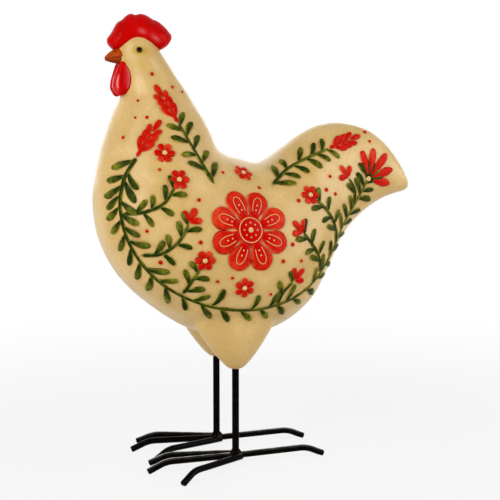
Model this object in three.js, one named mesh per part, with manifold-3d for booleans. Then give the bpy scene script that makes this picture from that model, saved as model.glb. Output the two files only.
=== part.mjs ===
// Hen figurine: a hollow cast body on two wire legs, with a comb, beak, wattles and eyes set into the head.
// Millimetres, +Z up. The hen faces -X, and its left side is towards -Y.
import * as THREE from "three";
import { mergeVertices } from "three/addons/utils/BufferGeometryUtils.js";
import Module from "manifold-3d";

const wasm = await Module();
wasm.setup();

// Driving dimensions

const CLEARANCE = 0.3; // glue line or weld gap between pieces that touch

const LEG_LENGTH = 69; // ground to the lower tip of the thighs
const LEG_SPACING = 48.5; // between the axes of the two leg rods
const ROD_DIAMETER = 5;
const SOCKET_DEPTH = 36; // how far a rod goes up into its thigh

const TOE_WIRE = 4.6;
const ANKLE_LEVEL = 6.2; // ground to the toe wire's axis where it meets the rod
const BEND_LEVEL = 7.2; // ground to the toe wire's axis at its bend
const TIP_LEVEL = 1.5; // ground to the toe wire's axis at its tip, which is ground off flat
const BEND_EASE = 5; // length of the rounded bend on either side of its corner
const TOE_TIP = 13; // length of the bent tip, seen from above
const SIDE_TOE_REACH = 61.5; // rod axis to the tip of an outer or inner toe, seen from above
const MIDDLE_TOE_REACH = 65;
const BACK_TOE_REACH = { left: 67, right: 70 };
// Hand-bent feet: each front toe's angle from straight ahead, in degrees, positive away from the other foot.
const LEFT_SPLAY = { outer: 38, middle: 4, inner: -14 };
const RIGHT_SPLAY = { outer: 24, middle: 3, inner: -28 };

const WELD_DIAMETER = 13;
const WELD_HEIGHT = 3.4;

const WALL = 6; // of the hollow casting
const THIGH_LIP = 1.5; // resin left round the rod where it enters the thigh
const THIGH_LENGTH = 62; // along the hen, at THIGH_HEIGHT above the tip
const THIGH_BREADTH = 38; // across the hen, at the same height
const THIGH_HEIGHT = 34;
const THIGH_ROOT = 48; // how far up a thigh reaches inside the body
const THIGH_LEAN = 7; // how far its root leans in under the body
const THIGH_SWELL = 0.8; // 1 for a straight cone, less for a fuller thigh

const PLUG_DIAMETER = 18;
const PLUG_THICKNESS = 3;
const PLUG_RECESS = 1.2; // how deep the plug's face lies below the belly
const PLUG_LEDGE = 2.5; // width of the ledge that the plug seats on
const PLUG_FLOOR = 2; // thickness of that ledge

const PEG_DIAMETER = 3.6; // of the comb's and the beak's pegs
const PEG_DEPTH = 7;
const WATTLE_PEG_DIAMETER = 2.4;
const WATTLE_PEG_LENGTH = 9; // from the middle of the wattle into the throat
const WATTLE_SPACING = 11;
const EYE_DIAMETER = 4.6;
const EYE_DEPTH = 4; // of the bead's stem in the head
const EYE_CROWN = 1.7; // how far the bead stands out

// Each form below is a list of oval rings: the x and z of its back or top edge, the x and z of its front or
// bottom edge, and half its width. x is measured from the leg rods, and z from the lower tip of the thighs.

const CROWN = [-64, 239];
const TAIL_CORNER = [144.5, 128.5];
const BODY_RINGS = [
  [-58, 237.5, -68.5, 236.5, 5.5],
  [-53.5, 232.5, -74, 231, 10],
  [-49, 225, -77.5, 223.5, 13],
  [-43.5, 216.5, -77, 214.5, 15],
  [-37.5, 207, -73.5, 204, 17],
  [-30, 196.5, -75, 192, 20.5],
  [-23.5, 186, -81, 178, 26.5],
  [-16.3, 174.5, -87.5, 160, 33.5],
  [-11, 163.5, -92.5, 139, 40.5],
  [-7, 155, -95, 117, 46.5],
  [-0.5, 150.5, -91, 91, 51],
  [7, 148.3, -77, 64.5, 54],
  [14.5, 146.3, -51.5, 41, 55],
  [22, 145, -23, 24.5, 54],
  [28, 146, 8, 20.5, 52],
  [35, 149.8, 37, 26, 47.5],
  [44, 156.2, 60.5, 42, 41],
  [55, 164.2, 75, 65, 34],
  [67, 170.7, 86, 86, 27],
  [82, 174, 97.5, 100, 21],
  [97, 173, 111, 111, 17],
  [111.5, 168.5, 123.5, 118, 14],
  [124, 159.5, 134, 121.5, 11.5],
  [134.5, 146.5, 141, 123.3, 9.5],
  [141, 134.5, 143.8, 125, 6.5],
];
const BACK_TAPER = 0.1; // how much narrower a body ring is towards the back than towards the belly
const HOLLOW_RINGS = [5, 19]; // the body rings between which the casting is hollow
const EYE_PLACE = { ring: 2.33, angle: 98 }; // ring of the body, and degrees round it from the nape
const PLUG_RING = 14.9;

const COMB_FRONT = [-84.8, 229];
const COMB_BACK = [-38, 230.5];
const COMB_RINGS = [
  [-83, 231.5, -83, 225.5, 4.5],
  [-80, 236.5, -80, 224, 7.5],
  [-77.5, 241.3, -76, 225, 9.3],
  [-73.5, 244.3, -71.5, 227, 10],
  [-69.5, 247.5, -67.5, 228, 10.3],
  [-64, 247.2, -63.5, 229, 10.3],
  [-59.5, 247.8, -60, 229, 10],
  [-53, 245.4, -55, 227.5, 9.5],
  [-47.5, 242.8, -50.5, 225.5, 9],
  [-43, 239.5, -47, 224, 8.3],
  [-39.5, 235, -42.5, 225.5, 6],
];
const COMB_PEG_PLACES = [-68, -58];
const COMB_PEG_TOP = 3; // how far the comb's pegs reach up into it above the crown

const BEAK_TIP = [-87.5, 216];
const BEAK_ROOT = [-70, 218.5];
const BEAK_RINGS = [
  [-85.5, 218.6, -85, 214.8, 1.9],
  [-82, 221.5, -81.5, 213.9, 3.6],
  [-78, 223.6, -77.5, 213, 4.8],
  [-72, 224, -72, 213, 5],
];

const WATTLE_TOP = [-75.5, 214];
const WATTLE_END = [-76.3, 190.7];
const WATTLE_RINGS = [
  [-72.5, 212.5, -78.5, 212.5, 2.2],
  [-71, 207.5, -80.5, 207, 3.2],
  [-69.8, 201, -82.3, 201, 4],
  [-70, 196.5, -82, 196, 3.8],
  [-73, 192.5, -79.5, 192.2, 2.6],
];
const WATTLE_PEG_RING = 1.4; // the wattle's ring that carries its peg

// Raised ornament, cast in one with the body. Its layout is in x and z on a flank, seen straight from the side.

const GARLAND = [
  [-72, 149], [-80, 135], [-83, 116], [-77, 91], [-58, 66], [-26, 49],
  [12, 45], [46, 55], [69, 77], [84, 102], [95, 118], [104, 133],
];
const DAISIES = [[-54, 152], [4, 138], [-2, 61]];
const BLOOM = [2, 100];

const RELIEF_RISE = 1.1; // how far leaves and petals stand out
const RELIEF_ROOT = 2; // how deep their undersides lie in the casting
const TRAIL_STEP = 2.5; // between the places along a stem
const SECTION_GAP = 12.5; // between the sections of a stem
const STEM_WIDTH = 1.5; // half the width of a stem
const LEAF_GAP = 15; // along the garland
const LEAF_LENGTH = 17;
const LEAF_WIDTH = 2.7; // half the width of a leaf
const PLUME_LENGTH = 26; // of the fan on the tail
const PLUME_WIDTH = 3.4;
const PLUME_STEP = 2.4; // how much shorter each plume is towards the outside
const PLUME_ANGLES = [42, 14, -14, -42, -70];
const BLOOM_RADIUS = 29;
const BLOOM_PETALS = 8;
const DAISY_RADIUS = 7;
const DAISY_PETALS = 6;

// Materials

const resin = () => new THREE.MeshStandardMaterial({ color: 0xe4c288, roughness: 0.35, metalness: 0 });
const redPaint = () => new THREE.MeshStandardMaterial({ color: 0xb70805, roughness: 0.3, metalness: 0 });
const beakPaint = () => new THREE.MeshStandardMaterial({ color: 0xb5420f, roughness: 0.4, metalness: 0 });
const eyeGloss = () => new THREE.MeshStandardMaterial({ color: 0x0b0908, roughness: 0.1, metalness: 0 });
const blackPaint = () => new THREE.MeshStandardMaterial({ color: 0x0e0906, roughness: 0.35, metalness: 0.4 });

// Solids and bars

function solidOf(geometry) {
  const bare = geometry.clone();
  bare.deleteAttribute("normal");
  bare.deleteAttribute("uv");
  const merged = mergeVertices(bare, 1e-4);
  return new wasm.Manifold(
    new wasm.Mesh({
      numProp: 3,
      vertProperties: merged.attributes.position.array,
      triVerts: new Uint32Array(merged.index.array),
    }),
  );
}

function geometryOf(solid) {
  const mesh = solid.getMesh();
  return new THREE.BufferGeometry()
    .setAttribute("position", new THREE.BufferAttribute(mesh.vertProperties, 3))
    .setIndex(new THREE.BufferAttribute(mesh.triVerts, 1));
}

function meshOf(name, geometry, material) {
  const mesh = new THREE.Mesh(geometry, material);
  mesh.name = name;
  return mesh;
}

// A round bar from one point to another.
function barBetween(diameter, from, to, sides = 24) {
  const axis = to.clone().sub(from);
  const upright = new THREE.Vector3(0, 1, 0);
  const turn = new THREE.Quaternion().setFromUnitVectors(upright, axis.clone().normalize());
  return new THREE.CylinderGeometry(diameter / 2, diameter / 2, axis.length(), sides)
    .translate(0, axis.length() / 2, 0)
    .applyQuaternion(turn)
    .translate(from.x, from.y, from.z);
}

// A turned form about the Z axis, from a profile of radius and height.
function turned(profile, segments) {
  const points = profile.map(([radius, height]) => new THREE.Vector2(radius, height));
  return new THREE.LatheGeometry(points, segments).rotateX(Math.PI / 2);
}

// Forms lofted through oval rings

const smooth = (points) => new THREE.CatmullRomCurve3(points, false, "centripetal");

class RingForm {
  constructor(rings, taper = 0) {
    this.last = rings.length - 1;
    this.taper = taper;
    this.tops = smooth(rings.map(([x, z]) => new THREE.Vector3(x, 0, z)));
    this.bottoms = smooth(rings.map(([, , x, z]) => new THREE.Vector3(x, 0, z)));
    this.widths = smooth(rings.map(([, , , , width], i) => new THREE.Vector3(i, width, 0)));
  }

  // The point at an angle round a ring, from its top or back edge, moved in by an inset.
  point(ring, angle, inset = 0) {
    const t = ring / this.last;
    const half = this.tops.getPoint(t).sub(this.bottoms.getPoint(t)).multiplyScalar(0.5);
    const point = this.bottoms.getPoint(t).add(half);
    half.setLength(half.length() - inset);
    const width = this.widths.getPoint(t).y - inset;
    point.addScaledVector(half, Math.cos(angle));
    point.y = width * Math.sin(angle) * (1 - this.taper * Math.cos(angle));
    return point;
  }

  centre(ring) {
    return this.point(ring, 0).add(this.point(ring, Math.PI)).multiplyScalar(0.5);
  }

  // The outward direction of the surface at that point.
  normal(ring, angle) {
    const step = 0.05;
    const along = this.point(ring + step, angle).sub(this.point(ring - step, angle));
    const round = this.point(ring, angle + step).sub(this.point(ring, angle - step));
    return along.cross(round).normalize();
  }

  // The closed surface between two rings, drawn to a point at either end.
  geometry({ sides, perRing, inset = 0, from = 0, to = this.last, poles = [] }) {
    const ends = [from, to].map((ring, i) => {
      if (!poles[i]) return this.centre(ring);
      const pole = new THREE.Vector3(poles[i][0], 0, poles[i][1]);
      const inward = this.centre(ring).sub(pole).normalize();
      return pole.addScaledVector(inward, inset);
    });
    const count = Math.round((to - from) * perRing) + 1;
    const angles = Array.from({ length: sides }, (_, side) => (2 * Math.PI * side) / sides);
    const rings = Array.from({ length: count }, (_, i) =>
      angles.map((angle) => this.point(from + i / perRing, angle, inset)),
    );
    return loft(rings, ends);
  }
}

// A closed surface through rings of points, drawn to a point at either end.
function loft(rings, ends) {
  const sides = rings[0].length;
  const end = rings.length - 1;
  const at = (ring, side) => 2 + ring * sides + (side % sides);
  const faces = [];
  for (let side = 0; side < sides; side++) {
    faces.push(0, at(0, side), at(0, side + 1));
    faces.push(1, at(end, side + 1), at(end, side));
    for (let i = 0; i < end; i++) {
      faces.push(at(i, side), at(i + 1, side), at(i + 1, side + 1));
      faces.push(at(i, side), at(i + 1, side + 1), at(i, side + 1));
    }
  }
  return new THREE.BufferGeometry().setFromPoints([...ends, ...rings.flat()]).setIndex(faces);
}

const bodyForm = new RingForm(BODY_RINGS, BACK_TAPER);
const combForm = new RingForm(COMB_RINGS);
const beakForm = new RingForm(BEAK_RINGS);
const wattleForm = new RingForm(WATTLE_RINGS);
const BODY_MESH = { sides: 32, perRing: 2, poles: [CROWN, TAIL_CORNER] };

const sideSign = { left: -1, right: 1 };
const legY = (side) => (sideSign[side] * LEG_SPACING) / 2;

// The body's skin with the glue line added, which shapes the seat of every piece set against the head.
const seatCutter = solidOf(bodyForm.geometry({ ...BODY_MESH, inset: -CLEARANCE }));

// A peg of the given piece in its hole: the bar itself, or the hole with its clearance.
function peg(diameter, root, tip, clearance = 0) {
  const reach = tip.clone().sub(root).setLength(clearance);
  return solidOf(barBetween(diameter + 2 * clearance, root, tip.clone().add(reach), 12));
}

// Places of the pegs, each from a point inside its piece to its tip in the head

const combPegs = COMB_PEG_PLACES.map((x) => {
  const root = new THREE.Vector3(x, 0, CROWN[1] + COMB_PEG_TOP);
  return [root, root.clone().setZ(CROWN[1] - PEG_DEPTH)];
});

function beakPeg() {
  const [, nostrils, face] = BEAK_RINGS.map((_, ring) => beakForm.centre(ring));
  const inward = face.clone().sub(nostrils).setLength(PEG_DEPTH);
  return [nostrils, face.add(inward)];
}

function wattlePeg(side) {
  const root = wattleForm.centre(WATTLE_PEG_RING).setY((sideSign[side] * WATTLE_SPACING) / 2);
  return [root, root.clone().setX(root.x + WATTLE_PEG_LENGTH)];
}

function eyeSeat(side) {
  const angle = sideSign[side] * THREE.MathUtils.degToRad(EYE_PLACE.angle);
  const seat = bodyForm.point(EYE_PLACE.ring, angle);
  const out = bodyForm.normal(EYE_PLACE.ring, angle);
  return { seat, out };
}

// Head pieces

function comb() {
  let solid = solidOf(combForm.geometry({ sides: 16, perRing: 2, poles: [COMB_FRONT, COMB_BACK] }));
  solid = solid.subtract(seatCutter);
  for (const [root, tip] of combPegs) solid = solid.add(peg(PEG_DIAMETER, root, tip));
  return meshOf("comb", geometryOf(solid), redPaint());
}

function beak() {
  const form = solidOf(beakForm.geometry({ sides: 16, perRing: 2, poles: [BEAK_TIP, BEAK_ROOT] }));
  const solid = form.subtract(seatCutter).add(peg(PEG_DIAMETER, ...beakPeg()));
  return meshOf("beak", geometryOf(solid), beakPaint());
}

function wattle(side) {
  const y = (sideSign[side] * WATTLE_SPACING) / 2;
  const form = wattleForm.geometry({ sides: 14, perRing: 2, poles: [WATTLE_TOP, WATTLE_END] });
  const solid = solidOf(form.translate(0, y, 0))
    .subtract(seatCutter)
    .add(peg(WATTLE_PEG_DIAMETER, ...wattlePeg(side)));
  return meshOf(`${side}_wattle`, geometryOf(solid), redPaint());
}

function eye(side) {
  const { seat, out } = eyeSeat(side);
  const radius = EYE_DIAMETER / 2;
  const dome = [0, 1, 2, 3].map((i) => {
    const rise = (i * Math.PI) / 8;
    return [radius * Math.cos(rise), EYE_CROWN * Math.sin(rise)];
  });
  const bead = turned([[0, -EYE_DEPTH], [radius, -EYE_DEPTH], ...dome, [0, EYE_CROWN]], 16);
  const mesh = meshOf(`${side}_eye`, bead, eyeGloss());
  mesh.position.copy(seat);
  mesh.quaternion.setFromUnitVectors(new THREE.Vector3(0, 0, 1), out);
  return mesh;
}

// Relief

// The body rings between which the flank carries relief.
const FLANK_RINGS = [3, 23.5];

const rotated = (way, axis, degrees) => way.clone().applyAxisAngle(axis, THREE.MathUtils.degToRad(degrees));

// One of a fixed run of uneven values between two limits, so that no two leaves are quite alike.
function uneven(count, low, high) {
  const value = Math.sin(count * 12.9898) * 43758.5453;
  return THREE.MathUtils.lerp(low, high, value - Math.floor(value));
}

// The direction of a trail at one of its places.
function headingAt(trail, index) {
  const before = trail[Math.max(index - 1, 0)].point;
  const after = trail[Math.min(index + 1, trail.length - 1)].point;
  return after.clone().sub(before).normalize();
}

// The main raised ornament of one flank. Its ridges and bosses are rooted in the casting.
class Relief {
  constructor(side) {
    this.side = side;
    this.solids = [];
  }

  // The place that is seen at x and z straight from the side, and the skin's normal there.
  onFlank(x, z) {
    let [ring, tail] = FLANK_RINGS;
    for (let i = 0; i < 24; i++) {
      const middle = (ring + tail) / 2;
      const bottom = bodyForm.point(middle, Math.PI);
      const up = bodyForm.point(middle, 0).sub(bottom);
      if (up.x * (z - bottom.z) > up.z * (x - bottom.x)) tail = middle;
      else ring = middle;
    }
    const centre = bodyForm.centre(ring);
    const half = bodyForm.point(ring, 0).sub(centre);
    const cosine = (half.x * (x - centre.x) + half.z * (z - centre.z)) / half.lengthSq();
    const angle = sideSign[this.side] * Math.acos(THREE.MathUtils.clamp(cosine, -1, 1));
    return { point: bodyForm.point(ring, angle), normal: bodyForm.normal(ring, angle) };
  }

  // The place on the skin beside a given one, moved along a direction.
  moved(place, way, distance) {
    const { x, z } = place.point.clone().addScaledVector(way, distance);
    return this.onFlank(x, z);
  }

  // A direction along the skin, in degrees from straight back, turning up.
  around(place, degrees) {
    const flat = new THREE.Vector3(1, 0, 0).projectOnPlane(place.normal).normalize();
    return rotated(flat, place.normal, -sideSign[this.side] * degrees);
  }

  // Places along a curved walk on the skin.
  walk(start, heading, length, turn, steps) {
    const trail = [start];
    let way = heading;
    for (let i = 0; i < steps; i++) {
      way = way.clone().applyAxisAngle(trail[i].normal, turn / steps);
      trail.push(this.moved(trail[i], way, length / steps));
      way = way.projectOnPlane(trail[i + 1].normal).normalize();
    }
    return trail;
  }

  // Places along a smooth curve through flank points.
  alongRoute(route) {
    const points = route.map(([x, z]) => new THREE.Vector3(x, 0, z));
    const span = points.slice(1).reduce((sum, point, i) => sum + point.distanceTo(points[i]), 0);
    return smooth(points)
      .getPoints(Math.round(span / TRAIL_STEP))
      .map(({ x, z }) => this.onFlank(x, z));
  }

  // A ridge along a trail, with a section at some of its places: crest, edges on the skin and a keel below.
  ridge(trail, indices, halfWidth, rise) {
    const last = trail.length - 1;
    const rings = indices.map((index) => {
      const { point, normal } = trail[index];
      const across = normal.clone().cross(headingAt(trail, index));
      const edge = (sign) => this.moved(trail[index], across, sign * halfWidth(index / last)).point;
      const crest = point.clone().addScaledVector(normal, rise);
      const keel = point.clone().addScaledVector(normal, -RELIEF_ROOT);
      return [crest, edge(1), keel, edge(-1)];
    });
    this.solids.push(solidOf(loft(rings, [trail[0].point, trail[last].point])));
  }

  // A low boss whose top follows the skin. Its radius is given round it, its raised rings as shares of that.
  boss(place, radii, shares, lean) {
    const lifted = ({ point, normal }, lift) => point.clone().addScaledVector(normal, lift);
    const ring = (share, lift) =>
      radii.map((radius, i) => {
        const way = rotated(this.around(place, lean), place.normal, (360 * i) / radii.length);
        return lifted(this.moved(place, way, share * radius), lift);
      });
    const rings = [...shares.map((share) => ring(share, RELIEF_RISE)), ring(1, -RELIEF_ROOT)];
    this.solids.push(solidOf(loft(rings, [lifted(place, RELIEF_RISE), lifted(place, -RELIEF_ROOT)])));
  }

  // A club-shaped leaf, narrow at its foot and round at its tip.
  leaf(start, heading, length, width, turn) {
    const rounded = (t) => (t > 0.7 ? Math.sqrt(1 - ((t - 0.7) / 0.33) ** 2) : 1);
    const halfWidth = (t) => width * (0.32 + 0.68 * THREE.MathUtils.smoothstep(t, 0, 0.65)) * rounded(t);
    this.ridge(this.walk(start, heading, length, turn, 7), [5], halfWidth, RELIEF_RISE);
  }

  stem(trail) {
    const spacing = Math.ceil(SECTION_GAP / TRAIL_STEP);
    const indices = [];
    for (let index = 2; index < trail.length - 1; index += spacing) indices.push(index);
    this.ridge(trail, indices, (t) => STEM_WIDTH * (1.1 - 0.45 * t), 0.85 * RELIEF_RISE);
  }

  // Leaves to either side of a stem in turn, shorter towards its tip.
  leaves(trail) {
    const steps = trail.length - 1;
    const spacing = Math.ceil(LEAF_GAP / TRAIL_STEP);
    for (let index = 1, hand = -1; index < steps; index += spacing, hand = -hand) {
      const size = LEAF_LENGTH * (1.05 - (0.25 * index) / steps) * uneven(index, 0.85, 1.12);
      const way = rotated(headingAt(trail, index), trail[index].normal, hand * uneven(index + 100, 26, 40));
      const width = LEAF_WIDTH * (0.45 + (0.55 * size) / LEAF_LENGTH);
      this.leaf(trail[index], way, size, width, hand * uneven(index + 200, 0.2, 1));
    }
  }

  // A small blossom, scalloped between its petals.
  daisy(place, lean) {
    const radii = Array.from({ length: 2 * DAISY_PETALS }, (_, i) => DAISY_RADIUS * (i % 2 ? 0.6 : 1));
    this.boss(place, radii, [0.85], lean);
  }

  // The large blossom, with a notch and two corners of a broad petal by turns.
  bloom(place) {
    const radii = Array.from({ length: 3 * BLOOM_PETALS }, (_, i) => BLOOM_RADIUS * (i % 3 ? 0.98 : 0.78));
    this.boss(place, radii, [0.4, 0.7, 0.95], 0);
  }

  // Plumes that spread over the tail from the end of the garland.
  tailFan(tip, heading) {
    PLUME_ANGLES.forEach((degrees, i) => {
      const way = rotated(heading, tip.normal, -sideSign[this.side] * degrees);
      const fromMiddle = Math.abs(i - (PLUME_ANGLES.length - 1) / 2);
      this.leaf(tip, way, PLUME_LENGTH - PLUME_STEP * fromMiddle, PLUME_WIDTH, 0);
    });
  }

  lay() {
    this.bloom(this.onFlank(...BLOOM));
    DAISIES.forEach(([x, z], i) => this.daisy(this.onFlank(x, z), uneven(i + 1, 0, 60)));
    const garland = this.alongRoute(GARLAND);
    this.stem(garland);
    this.leaves(garland);
    this.tailFan(garland.at(-1), headingAt(garland, garland.length - 1));
    return this.solids;
  }
}

// Body

function thigh(side) {
  const tip = ROD_DIAMETER / 2 + CLEARANCE + THIGH_LIP;
  const swell = THIGH_LENGTH / 2 - tip;
  const steps = 8;
  const profile = [[0, 0]];
  for (let i = 0; i <= steps; i++) {
    const height = THIGH_ROOT * (i / steps) ** 2;
    profile.push([tip + swell * (height / THIGH_HEIGHT) ** THIGH_SWELL, height]);
  }
  profile.push([0, THIGH_ROOT]);
  const form = turned(profile, 24);
  // The tip stays round, and as it rises the thigh grows narrower across than along and leans in.
  const place = form.attributes.position;
  for (let i = 0; i < place.count; i++) {
    const rise = THREE.MathUtils.clamp(place.getZ(i) / THIGH_HEIGHT, 0, 1);
    const squeeze = THREE.MathUtils.lerp(1, THIGH_BREADTH / THIGH_LENGTH, Math.sqrt(rise));
    const lean = THIGH_LEAN * (place.getZ(i) / THIGH_ROOT) ** 2;
    place.setY(i, place.getY(i) * squeeze - sideSign[side] * lean);
  }
  return solidOf(form.translate(0, legY(side), 0));
}

// The upright bore for a leg rod, or with a wall added, the core that the hollow leaves round it.
function legCore(side, wall = 0) {
  const bottom = new THREE.Vector3(0, legY(side), -CLEARANCE);
  const top = bottom.clone().setZ(SOCKET_DEPTH + CLEARANCE + wall);
  return solidOf(barBetween(ROD_DIAMETER + 2 * (CLEARANCE + wall), bottom, top, 20));
}

const plugSeat = bodyForm.point(PLUG_RING, Math.PI);
const plugAxis = bodyForm.normal(PLUG_RING, Math.PI);
const alongPlug = (depth) => plugSeat.clone().addScaledVector(plugAxis, -depth);
const plugLedgeDepth = PLUG_RECESS + PLUG_THICKNESS + CLEARANCE;

// A round bar on the plug's axis, from outside the belly to a depth below it.
function plugBar(diameter, depth) {
  return solidOf(barBetween(diameter, alongPlug(depth), alongPlug(-WALL)));
}

function bodyCasting() {
  const [from, to] = HOLLOW_RINGS;
  let hollow = solidOf(bodyForm.geometry({ sides: 20, perRing: 1, inset: WALL, from, to }));
  const relief = ["left", "right"].flatMap((side) => new Relief(side).lay());
  let solid = wasm.Manifold.union([solidOf(bodyForm.geometry(BODY_MESH)), ...relief]);
  for (const side of ["left", "right"]) {
    solid = solid.add(thigh(side));
    hollow = hollow.subtract(legCore(side, WALL));
  }
  const mouth = PLUG_DIAMETER + 2 * CLEARANCE;
  const floorDepth = plugLedgeDepth + PLUG_FLOOR;
  hollow = hollow.subtract(plugBar(mouth + 2 * WALL, floorDepth));
  solid = solid
    .subtract(hollow)
    .subtract(plugBar(mouth, plugLedgeDepth))
    .subtract(plugBar(PLUG_DIAMETER - 2 * PLUG_LEDGE, floorDepth + WALL));
  for (const side of ["left", "right"]) {
    const { seat, out } = eyeSeat(side);
    const outside = seat.clone().addScaledVector(out, EYE_CROWN);
    const bottom = seat.clone().addScaledVector(out, -EYE_DEPTH);
    solid = solid
      .subtract(legCore(side))
      .subtract(peg(EYE_DIAMETER, outside, bottom, CLEARANCE))
      .subtract(peg(WATTLE_PEG_DIAMETER, ...wattlePeg(side), CLEARANCE));
  }
  for (const [root, tip] of combPegs) solid = solid.subtract(peg(PEG_DIAMETER, root, tip, CLEARANCE));
  solid = solid.subtract(peg(PEG_DIAMETER, ...beakPeg(), CLEARANCE));
  return meshOf("body_casting", geometryOf(solid), resin());
}

function pourHolePlug() {
  const disc = barBetween(PLUG_DIAMETER, alongPlug(PLUG_RECESS + PLUG_THICKNESS), alongPlug(PLUG_RECESS));
  return meshOf("pour_hole_plug", disc, resin());
}

// Legs and feet, in the frame of one foot: origin on the ground under the rod, forward is -X

function legRod(side) {
  const bottom = ANKLE_LEVEL - TOE_WIRE / 2;
  const top = LEG_LENGTH + SOCKET_DEPTH;
  const rod = barBetween(ROD_DIAMETER, new THREE.Vector3(0, 0, bottom), new THREE.Vector3(0, 0, top), 16);
  return meshOf(`${side}_leg_rod`, rod, blackPaint());
}

// A toe runs straight from the ankle to its bend and then down to its tip, which stands on a ground flat.
function toe(name, start, direction, reach) {
  const bend = direction.clone().multiplyScalar(reach - TOE_TIP).setZ(BEND_LEVEL);
  const tip = direction.clone().multiplyScalar(reach).setZ(TIP_LEVEL);
  const toward = (target) => bend.clone().addScaledVector(target.clone().sub(bend).normalize(), BEND_EASE);
  const path = new THREE.CurvePath();
  path.add(new THREE.LineCurve3(start, toward(start)));
  path.add(new THREE.QuadraticBezierCurve3(toward(start), bend, toward(tip)));
  path.add(new THREE.LineCurve3(toward(tip), tip));
  const section = new THREE.Shape().absarc(0, 0, TOE_WIRE / 2, 0, 2 * Math.PI);
  const wire = new THREE.ExtrudeGeometry(section, {
    steps: 12,
    curveSegments: 5,
    bevelEnabled: false,
    extrudePath: path,
  });
  const below = new THREE.BoxGeometry(4 * reach, 4 * reach, TOE_WIRE).translate(0, 0, -TOE_WIRE / 2);
  return meshOf(name, geometryOf(solidOf(wire).subtract(solidOf(below))), blackPaint());
}

// A front toe at the rod's side lies along it, and one straight ahead or behind butts against it.
function toesOf(side, splay) {
  const beside = (ROD_DIAMETER + TOE_WIRE) / 2 + CLEARANCE;
  const butt = ROD_DIAMETER / 2 + CLEARANCE;
  const heading = (degrees) => {
    const angle = THREE.MathUtils.degToRad(degrees);
    return new THREE.Vector3(-Math.cos(angle), sideSign[side] * Math.sin(angle), 0);
  };
  const besideRod = (direction, outward) => {
    const across = new THREE.Vector3(-direction.y, direction.x, 0);
    across.multiplyScalar(Math.sign(across.y) * sideSign[side] * outward);
    return across.setLength(beside).setZ(ANKLE_LEVEL);
  };
  const againstRod = (direction) => direction.clone().setLength(butt).setZ(ANKLE_LEVEL);
  const outer = heading(splay.outer);
  const middle = heading(splay.middle);
  const inner = heading(splay.inner);
  const back = new THREE.Vector3(1, 0, 0);
  return [
    toe(`${side}_outer_toe`, besideRod(outer, 1), outer, SIDE_TOE_REACH),
    toe(`${side}_middle_toe`, againstRod(middle), middle, MIDDLE_TOE_REACH),
    toe(`${side}_inner_toe`, besideRod(inner, -1), inner, SIDE_TOE_REACH),
    toe(`${side}_back_toe`, againstRod(back), back, BACK_TOE_REACH[side]),
  ];
}

// The weld bead is a collar round the rod that sits on the toe wires.
function footWeld(side) {
  const hole = ROD_DIAMETER / 2 + CLEARANCE;
  const rim = WELD_DIAMETER / 2;
  const rise = ((BEND_LEVEL - ANKLE_LEVEL) * rim) / (SIDE_TOE_REACH - TOE_TIP);
  const seat = ANKLE_LEVEL + rise + TOE_WIRE / 2 + CLEARANCE;
  const profile = [[hole, seat], [rim, seat]];
  for (let i = 1; i < 5; i++) {
    const sweep = (i * Math.PI) / 10;
    profile.push([rim - (rim - hole) * Math.sin(sweep), seat + WELD_HEIGHT * (1 - Math.cos(sweep))]);
  }
  profile.push([hole, seat + WELD_HEIGHT], [hole, seat]);
  return meshOf(`${side}_foot_weld`, turned(profile, 16), blackPaint());
}

function leg(side, splay) {
  const group = new THREE.Group();
  group.position.y = legY(side);
  group.add(legRod(side), ...toesOf(side, splay), footWeld(side));
  return group;
}

// Assembly

const upper = new THREE.Group();
upper.position.z = LEG_LENGTH;
upper.add(bodyCasting(), pourHolePlug(), comb(), beak());
for (const side of ["left", "right"]) upper.add(wattle(side), eye(side));

const assembly = new THREE.Group();
assembly.add(upper, leg("left", LEFT_SPLAY), leg("right", RIGHT_SPLAY));

// The origin lies on the ground under the middle of the whole hen.
const box = new THREE.Box3().setFromObject(assembly, true);
const middle = box.getCenter(new THREE.Vector3());
assembly.position.set(-middle.x, -middle.y, -box.min.z);

const hen = new THREE.Group();
hen.add(assembly);

export default hen;
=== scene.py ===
"""The looks of a cast and painted hen on wire legs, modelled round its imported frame. Sizes in millimetres."""

import math

import bmesh
import bpy
from bpy.props import FloatProperty, FloatVectorProperty, IntProperty, PointerProperty
from mathutils import Matrix, Vector
from mathutils.bvhtree import BVHTree


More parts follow.
